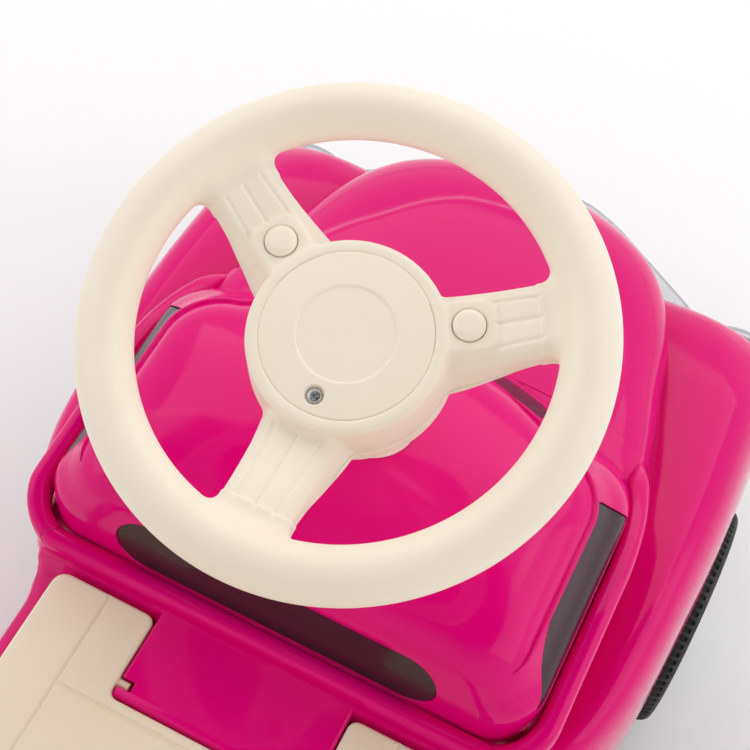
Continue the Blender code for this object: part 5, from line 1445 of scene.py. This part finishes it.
add(make_hood(), "hood_shell", "magenta_body", "car", "hood")
add(make_main_body(), "body_shell", "magenta_body", "car", "main_body")
add(roll_form(0.0), "body_belt_roll", "magenta_body", "car")
add(make_cab(), "cab_shell", "magenta_body", "car", "cab")
for which in WINDOWS:
    add(make_pane(which), which + "_pane", "smoked_window", "car", which)
for side_name, side in (("left", 1.0), ("right", -1.0)):
    for end, rows in (("front", FRONT_FENDER), ("rear", REAR_FENDER)):
        name = f"{end}_fender_{side_name}"
        add(make_fender(rows, side), name + "_shell", "magenta_body", "car", name)
    rim, lens = make_headlight(side)
    add(rim, f"headlight_{side_name}_bezel", "silver_trim", "car", "headlight_rim_" + side_name)
    add(lens, f"headlight_{side_name}_glass", "clear_lens", "car", "headlight_lens_" + side_name)
    add(make_tail_light(side), f"tail_{side_name}_glass", "red_lens", "car", "tail_light_" + side_name)
    for end, y in (("front", FRONT_WHEEL_Y), ("rear", REAR_WHEEL_Y)):
        where = wheel_matrix(y, side)
        body = f"{end}_wheel_{side_name}"
        cap_body = "car" if end == "rear" else "knuckle_" + side_name
        place_name = f"_{end}_{side_name}"
        add(place(make_tyre(), where), body + "_tyre", "black_tyre", body, "tyre" + place_name, sharp=60.0)
        add(place(make_rim(), where), body + "_disc", "silver_trim", body, "wheel" + place_name)
        add(place(make_hubcap(), where), body + "_cap", "silver_trim", cap_body, "hubcap" + place_name)
    name = "button_" + side_name
    add(make_button(BUTTON_ANGLES[int(side > 0.0)]), name + "_cap", "cream_wheel", name, name)

for end, name, rows, returns, heights in (
        (-1.0, "front_bumper", FRONT_BUMPER, FRONT_RETURNS, FRONT_BUMPER_Z),
        (1.0, "rear_bumper", REAR_BUMPER, REAR_RETURNS, REAR_BUMPER_Z)):
    add(make_bumper(rows, returns, end, heights), name + "_bar", "silver_trim", "car", name)
# Lid and backrest take the seat cream, painted darker to stand in for shade
add(make_seat_lid(), "seat_panel", "cream_seat", "seat_lid", "seat_lid")
add(make_backrest(), "backrest_panel", "cream_seat", "car", "backrest")

for name, shell in zip(("upper", "lower"), make_steering_wheel()):
    add(shell, f"wheel_{name}_shell", "cream_wheel", "steering", "steering_wheel_" + name, sharp=180.0)
add(make_neck(), "wheel_neck", "cream_wheel", "steering")
add(make_cover(), "cover_disc", "cream_wheel", "steering", "battery_cover")
screw = moved(make_cross_screw(0.0026, WELL_FLOOR_Z, 0.0011, 20.0), y=SCREW_DISTANCE)
add(on_column(screw), "cover_screw_head", "steel", "steering", "cover_screw")
add(make_collar(), "roof_collar", "cream_wheel", "car", "column_collar")

# The pieces that keep their CAD shapes get their looks too
KEPT = {
    "black_plastic": ("chassis", "tie_rod", "storage_bin", "battery_tray", "sounder", "column_bush"),
    "steel": ("rear_axle", "knuckle_left", "knuckle_right", "shell_screw_1", "shell_screw_2", "shell_screw_3",
              "battery_contact_left", "battery_contact_right", "button_spring_left", "button_spring_right",
              "steering_column"),
    "cell_wrap": ("cell_front", "cell_rear"),
    "circuit_board": ("sound_board",),
}
for slot, nodes in KEPT.items():
    for node in nodes:
        for material_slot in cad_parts[node].material_slots:
            material_slot.link = "OBJECT"
            material_slot.material = LOOKS[slot]


# Floor, lights and camera

FLOOR_HALF = 4.0
floor_mesh = bpy.data.meshes.new("floor")
floor_mesh.from_pydata([(-FLOOR_HALF, -FLOOR_HALF, 0.0), (FLOOR_HALF, -FLOOR_HALF, 0.0),
                        (FLOOR_HALF, FLOOR_HALF, 0.0), (-FLOOR_HALF, FLOOR_HALF, 0.0)], [], [(0, 1, 2, 3)])
floor = linked("floor", floor_mesh)
floor_look, _, floor_shader = new_material("floor", (0.97, 0.97, 0.97), 0.85)
floor_shader.inputs["Specular IOR Level"].default_value = 0.1
floor_mesh.materials.append(floor_look)

# Bright near the horizon, dim overhead: (sine of the height, brightness)
SKY = [(0.0, 1.0), (0.55, 0.88), (0.80, 0.48), (0.92, 0.03)]
world = bpy.data.worlds.new("studio")
bpy.context.scene.world = world
world.use_nodes = True
tree = world.node_tree
background = tree.nodes["Background"]
direction = tree.nodes.new("ShaderNodeTexCoord")
height = tree.nodes.new("ShaderNodeSeparateXYZ")
sky = tree.nodes.new("ShaderNodeValToRGB")
tree.links.new(direction.outputs["Generated"], height.inputs["Vector"])
tree.links.new(height.outputs["Z"], sky.inputs["Fac"])
tree.links.new(sky.outputs["Color"], background.inputs["Color"])
while len(sky.color_ramp.elements) < len(SKY):
    sky.color_ramp.elements.new(0.5)
for element, (sine, level) in zip(sky.color_ramp.elements, SKY):
    element.position = sine
    element.color = (level, level, level, 1.0)
background.inputs["Strength"].default_value = 1.0

# Softboxes: (name, place, width, height, watts), all aimed at the car
LIGHT_AIM = Vector((0.0, 0.0, 0.2))
SOFTBOXES = [
    ("front", (0.15, -1.65, 1.95), 3.20, 1.60, 23.0), ("left", (1.70, 0.10, 1.55), 1.90, 1.90, 11.0),
    ("right", (-1.70, -0.30, 1.55), 1.90, 1.90, 11.0),
]
for name, stand, width, tall, power in SOFTBOXES:
    light = bpy.data.lights.new(name, "AREA")
    light.shape = "RECTANGLE"
    light.size = width
    light.size_y = tall
    light.energy = power
    lamp = linked(name, light)
    lamp.location = stand
    lamp.rotation_euler = (LIGHT_AIM - Vector(stand)).to_track_quat("-Z", "Y").to_euler()

# The photograph's camera: place, image right, image down and line of sight
CAMERA_AT = (-0.1041, 0.1806, 0.7719)
IMAGE_RIGHT = Vector((-0.8923, -0.4482, 0.0538))
IMAGE_DOWN = Vector((-0.4106, 0.7563, -0.5094))
SIGHT = Vector((0.1876, -0.4767, -0.8588))
FOCAL_PIXELS = 1464.0
PHOTO_PIXELS = 750.0
SENSOR = 36.0

camera_data = bpy.data.cameras.new("camera")
camera_data.sensor_width = SENSOR
camera_data.lens = SENSOR * FOCAL_PIXELS / PHOTO_PIXELS
camera_data.clip_start = 0.01
camera = linked("camera", camera_data)
turn = Matrix((IMAGE_RIGHT, -IMAGE_DOWN, -SIGHT)).transposed()
camera.matrix_world = Matrix.Translation(CAMERA_AT) @ turn.to_4x4()
bpy.context.scene.camera = camera
bpy.context.scene.view_settings.view_transform = "Standard"
